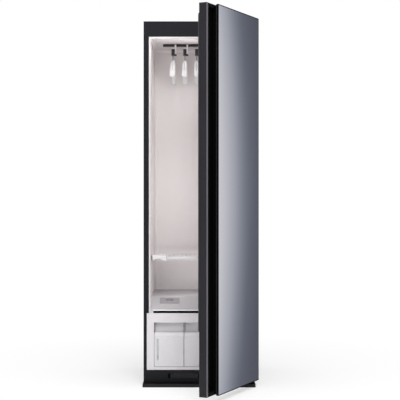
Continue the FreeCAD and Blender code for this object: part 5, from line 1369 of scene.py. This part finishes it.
@dataclass
class Studio:
    """Pale floor, soft lamps, plain white surroundings and the camera."""

    fill: float = 0.48  # strength of the surroundings as light
    camera: Triple = (0.0, -5.845, 1.036)
    lens: float = 93.294
    shift: Pair = (0.002375, -0.02)
    lamps: tuple[Lamp, ...] = (
        Lamp("key", (0.6, -4.2, 3.3), (-0.1, -0.2, 0.9), 1.6, 1.6, 98.0),
        Lamp("front", (-0.7, -5.2, 0.5), (0.0, -0.3, 0.3), 1.5, 1.5, 22.0),
        Lamp("top", (0.0, -0.8, 4.6), (0.0, -0.3, 0.0), 3.0, 3.0, 120.0),
        Lamp("chamber", (-0.06, -0.14, 1.04), (-0.24, 0.16, 0.92), 0.16, 0.48, 0.22),
        Lamp("chamber_side", (0.17, -0.15, 1.32), (-0.26, -0.27, 1.34), 0.12, 0.96, 0.80),
        Lamp("chamber_upper", (-0.10, -0.275, 1.775), (-0.19, -0.17, 1.86), 0.30, 0.05, 0.20),
        Lamp("chamber_back", (-0.09, -0.06, 1.52), (-0.15, 0.14, 1.90), 0.24, 0.14, 0.14),
        Lamp("chamber_lower", (0.02, -0.12, 0.58), (-0.25, 0.215, 0.58), 0.3, 0.1, 0.25),
    )
    floor: Sheet = Sheet("floor", "floor_paper", (-30.0, -30.0, 0.0), (60.0, 0.0, 0.0), (0.0, 60.0, 0.0))
    floor_fade: Pair = (0.5, 1.7)  # distances over which the floor fades to white
    floor_start: float = 0.55  # its share of white nearest the cabinet
    card: Sheet = Sheet(
        "reflection_card", "card_gradient", (2.6, 0.9, -1.5), (0.0, 2.5, 0.0), (0.0, 0.0, 5.1)
    )
    card_span: Pair = (1.10, 1.60)  # depths at which the gradient starts and ends
    card_tones: tuple[tuple[float, Triple], ...] = (  # share along the gradient and tone there
        (0.0, (1.0, 1.0, 1.0)),
        (0.20, (0.84, 0.85, 0.875)),
        (0.30, (0.68, 0.70, 0.745)),
        (0.41, (0.55, 0.58, 0.625)),
        (0.52, (0.375, 0.405, 0.455)),
        (0.62, (0.265, 0.292, 0.336)),
        (0.73, (0.186, 0.206, 0.25)),
        (1.0, (0.134, 0.142, 0.172)),
    )
    card_middle: float = 1.052  # height at which the gradient reaches furthest
    card_bend: float = 0.047  # how much it draws back with the square of the distance from there
    sweep: Sheet = Sheet(
        "reflection_sweep", "sweep_gradient", (-7.0, -9.0, -4.0), (14.0, 0.0, 0.0), (0.0, 0.0, 11.0)
    )
    sweep_slant: float = -0.22
    sweep_span: Pair = (-0.9, 1.0)  # slanting places between which the light falls
    sweep_tones: Pair = (1.0, 0.62)

    def surroundings(self) -> None:
        """Make the world: white where it is seen, dimmer as light."""
        world = bpy.context.scene.world = bpy.data.worlds.new("surroundings")
        bench = Bench.clear(world)
        path = bench.lay("LightPath").outputs
        seen = bench.sum("MAXIMUM", path["Is Camera Ray"], path["Is Glossy Ray"])
        seen = bench.sum("MAXIMUM", seen, path["Is Transmission Ray"])
        strength = bench.ramp(seen, 0.0, 1.0, self.fill, 1.0)
        glow = bench.lay("Background", {"Color": WHITE, "Strength": strength})
        bench.lay("OutputWorld", {"Surface": glow.outputs[0]})

    def lay_floor(self) -> None:
        """Make the floor: it keeps the shadow near the cabinet and fades to white."""
        floor, bench = self.floor.lay()
        floor.visible_glossy = False
        away = bench.lay("VectorMath", {0: bench.place()}, operation="LENGTH").outputs["Value"]
        fade = bench.ramp(away, *self.floor_fade, self.floor_start, 1.0)
        seen = bench.times(fade, bench.lay("LightPath").outputs["Is Camera Ray"])
        paper = bench.lay("BsdfDiffuse", {"Color": (0.95, 0.95, 0.95, 1.0)}).outputs[0]
        white = bench.lay("Emission", {"Color": WHITE, "Strength": 1.0}).outputs[0]
        mixed = bench.lay("MixShader", {0: seen, 1: paper, 2: white})
        bench.lay("OutputMaterial", {"Surface": mixed.outputs[0]})

    def hang_card(self) -> None:
        """Make the card that the mirror reflects as a soft dark gradient."""
        bench = self.card.lay()[1]
        where = bench.lay("SeparateXYZ", {0: bench.place()}).outputs
        off = bench.sum("ABSOLUTE", bench.sum("SUBTRACT", where["Z"], self.card_middle))
        bent = bench.times(bench.sum("POWER", off, 2.0), self.card_bend)
        bands = bench.lay("ValToRGB", {0: bench.ramp(bench.sum("ADD", where["Y"], bent), *self.card_span)})
        stops = bands.color_ramp.elements
        while len(stops) < len(self.card_tones):
            stops.new(0.5)
        for stop, (place, tone) in zip(stops, self.card_tones):
            stop.position, stop.color = place, (*tone, 1.0)
        self.card.glow(bench, bands.outputs[0], 1.0)

    def hang_sweep(self) -> None:
        """Make the far card that the shut door's mirror reflects as a slanting soft fall of light."""
        bench = self.sweep.lay()[1]
        where = bench.lay("SeparateXYZ", {0: bench.place()}).outputs
        slant = bench.sum("ADD", where["X"], bench.times(where["Z"], self.sweep_slant))
        self.sweep.glow(bench, WHITE, bench.ramp(slant, *self.sweep_span, *self.sweep_tones))

    def set_camera(self) -> None:
        """Place the camera."""
        data = bpy.data.cameras.new("camera")
        data.lens = self.lens
        data.shift_x, data.shift_y = self.shift
        camera = bpy.data.objects.new("camera", data)
        camera.location = self.camera
        camera.rotation_euler = (math.radians(90), 0.0, 0.0)
        bpy.context.scene.collection.objects.link(camera)
        bpy.context.scene.camera = camera

    def build(self) -> None:
        """Set up the whole studio."""
        bpy.context.scene.view_settings.view_transform = "Standard"
        self.surroundings()
        self.lay_floor()
        self.hang_card()
        self.hang_sweep()
        for lamp in self.lamps:
            lamp.hang()
        self.set_camera()


def main() -> None:
    """Build and dress every sub-assembly, then the studio."""
    logging.basicConfig(level=logging.INFO, format="%(message)s")
    for part in (Casing(), Chamber(), HangingGear(), TankBay(), Door(), MachineSpace()):
        part.build()
        part.dress()
        LOG.info("%s is built and dressed", type(part).__name__)
    Studio().build()
    LOG.info("Studio is set up")


if __name__ == "__main__":
    main()
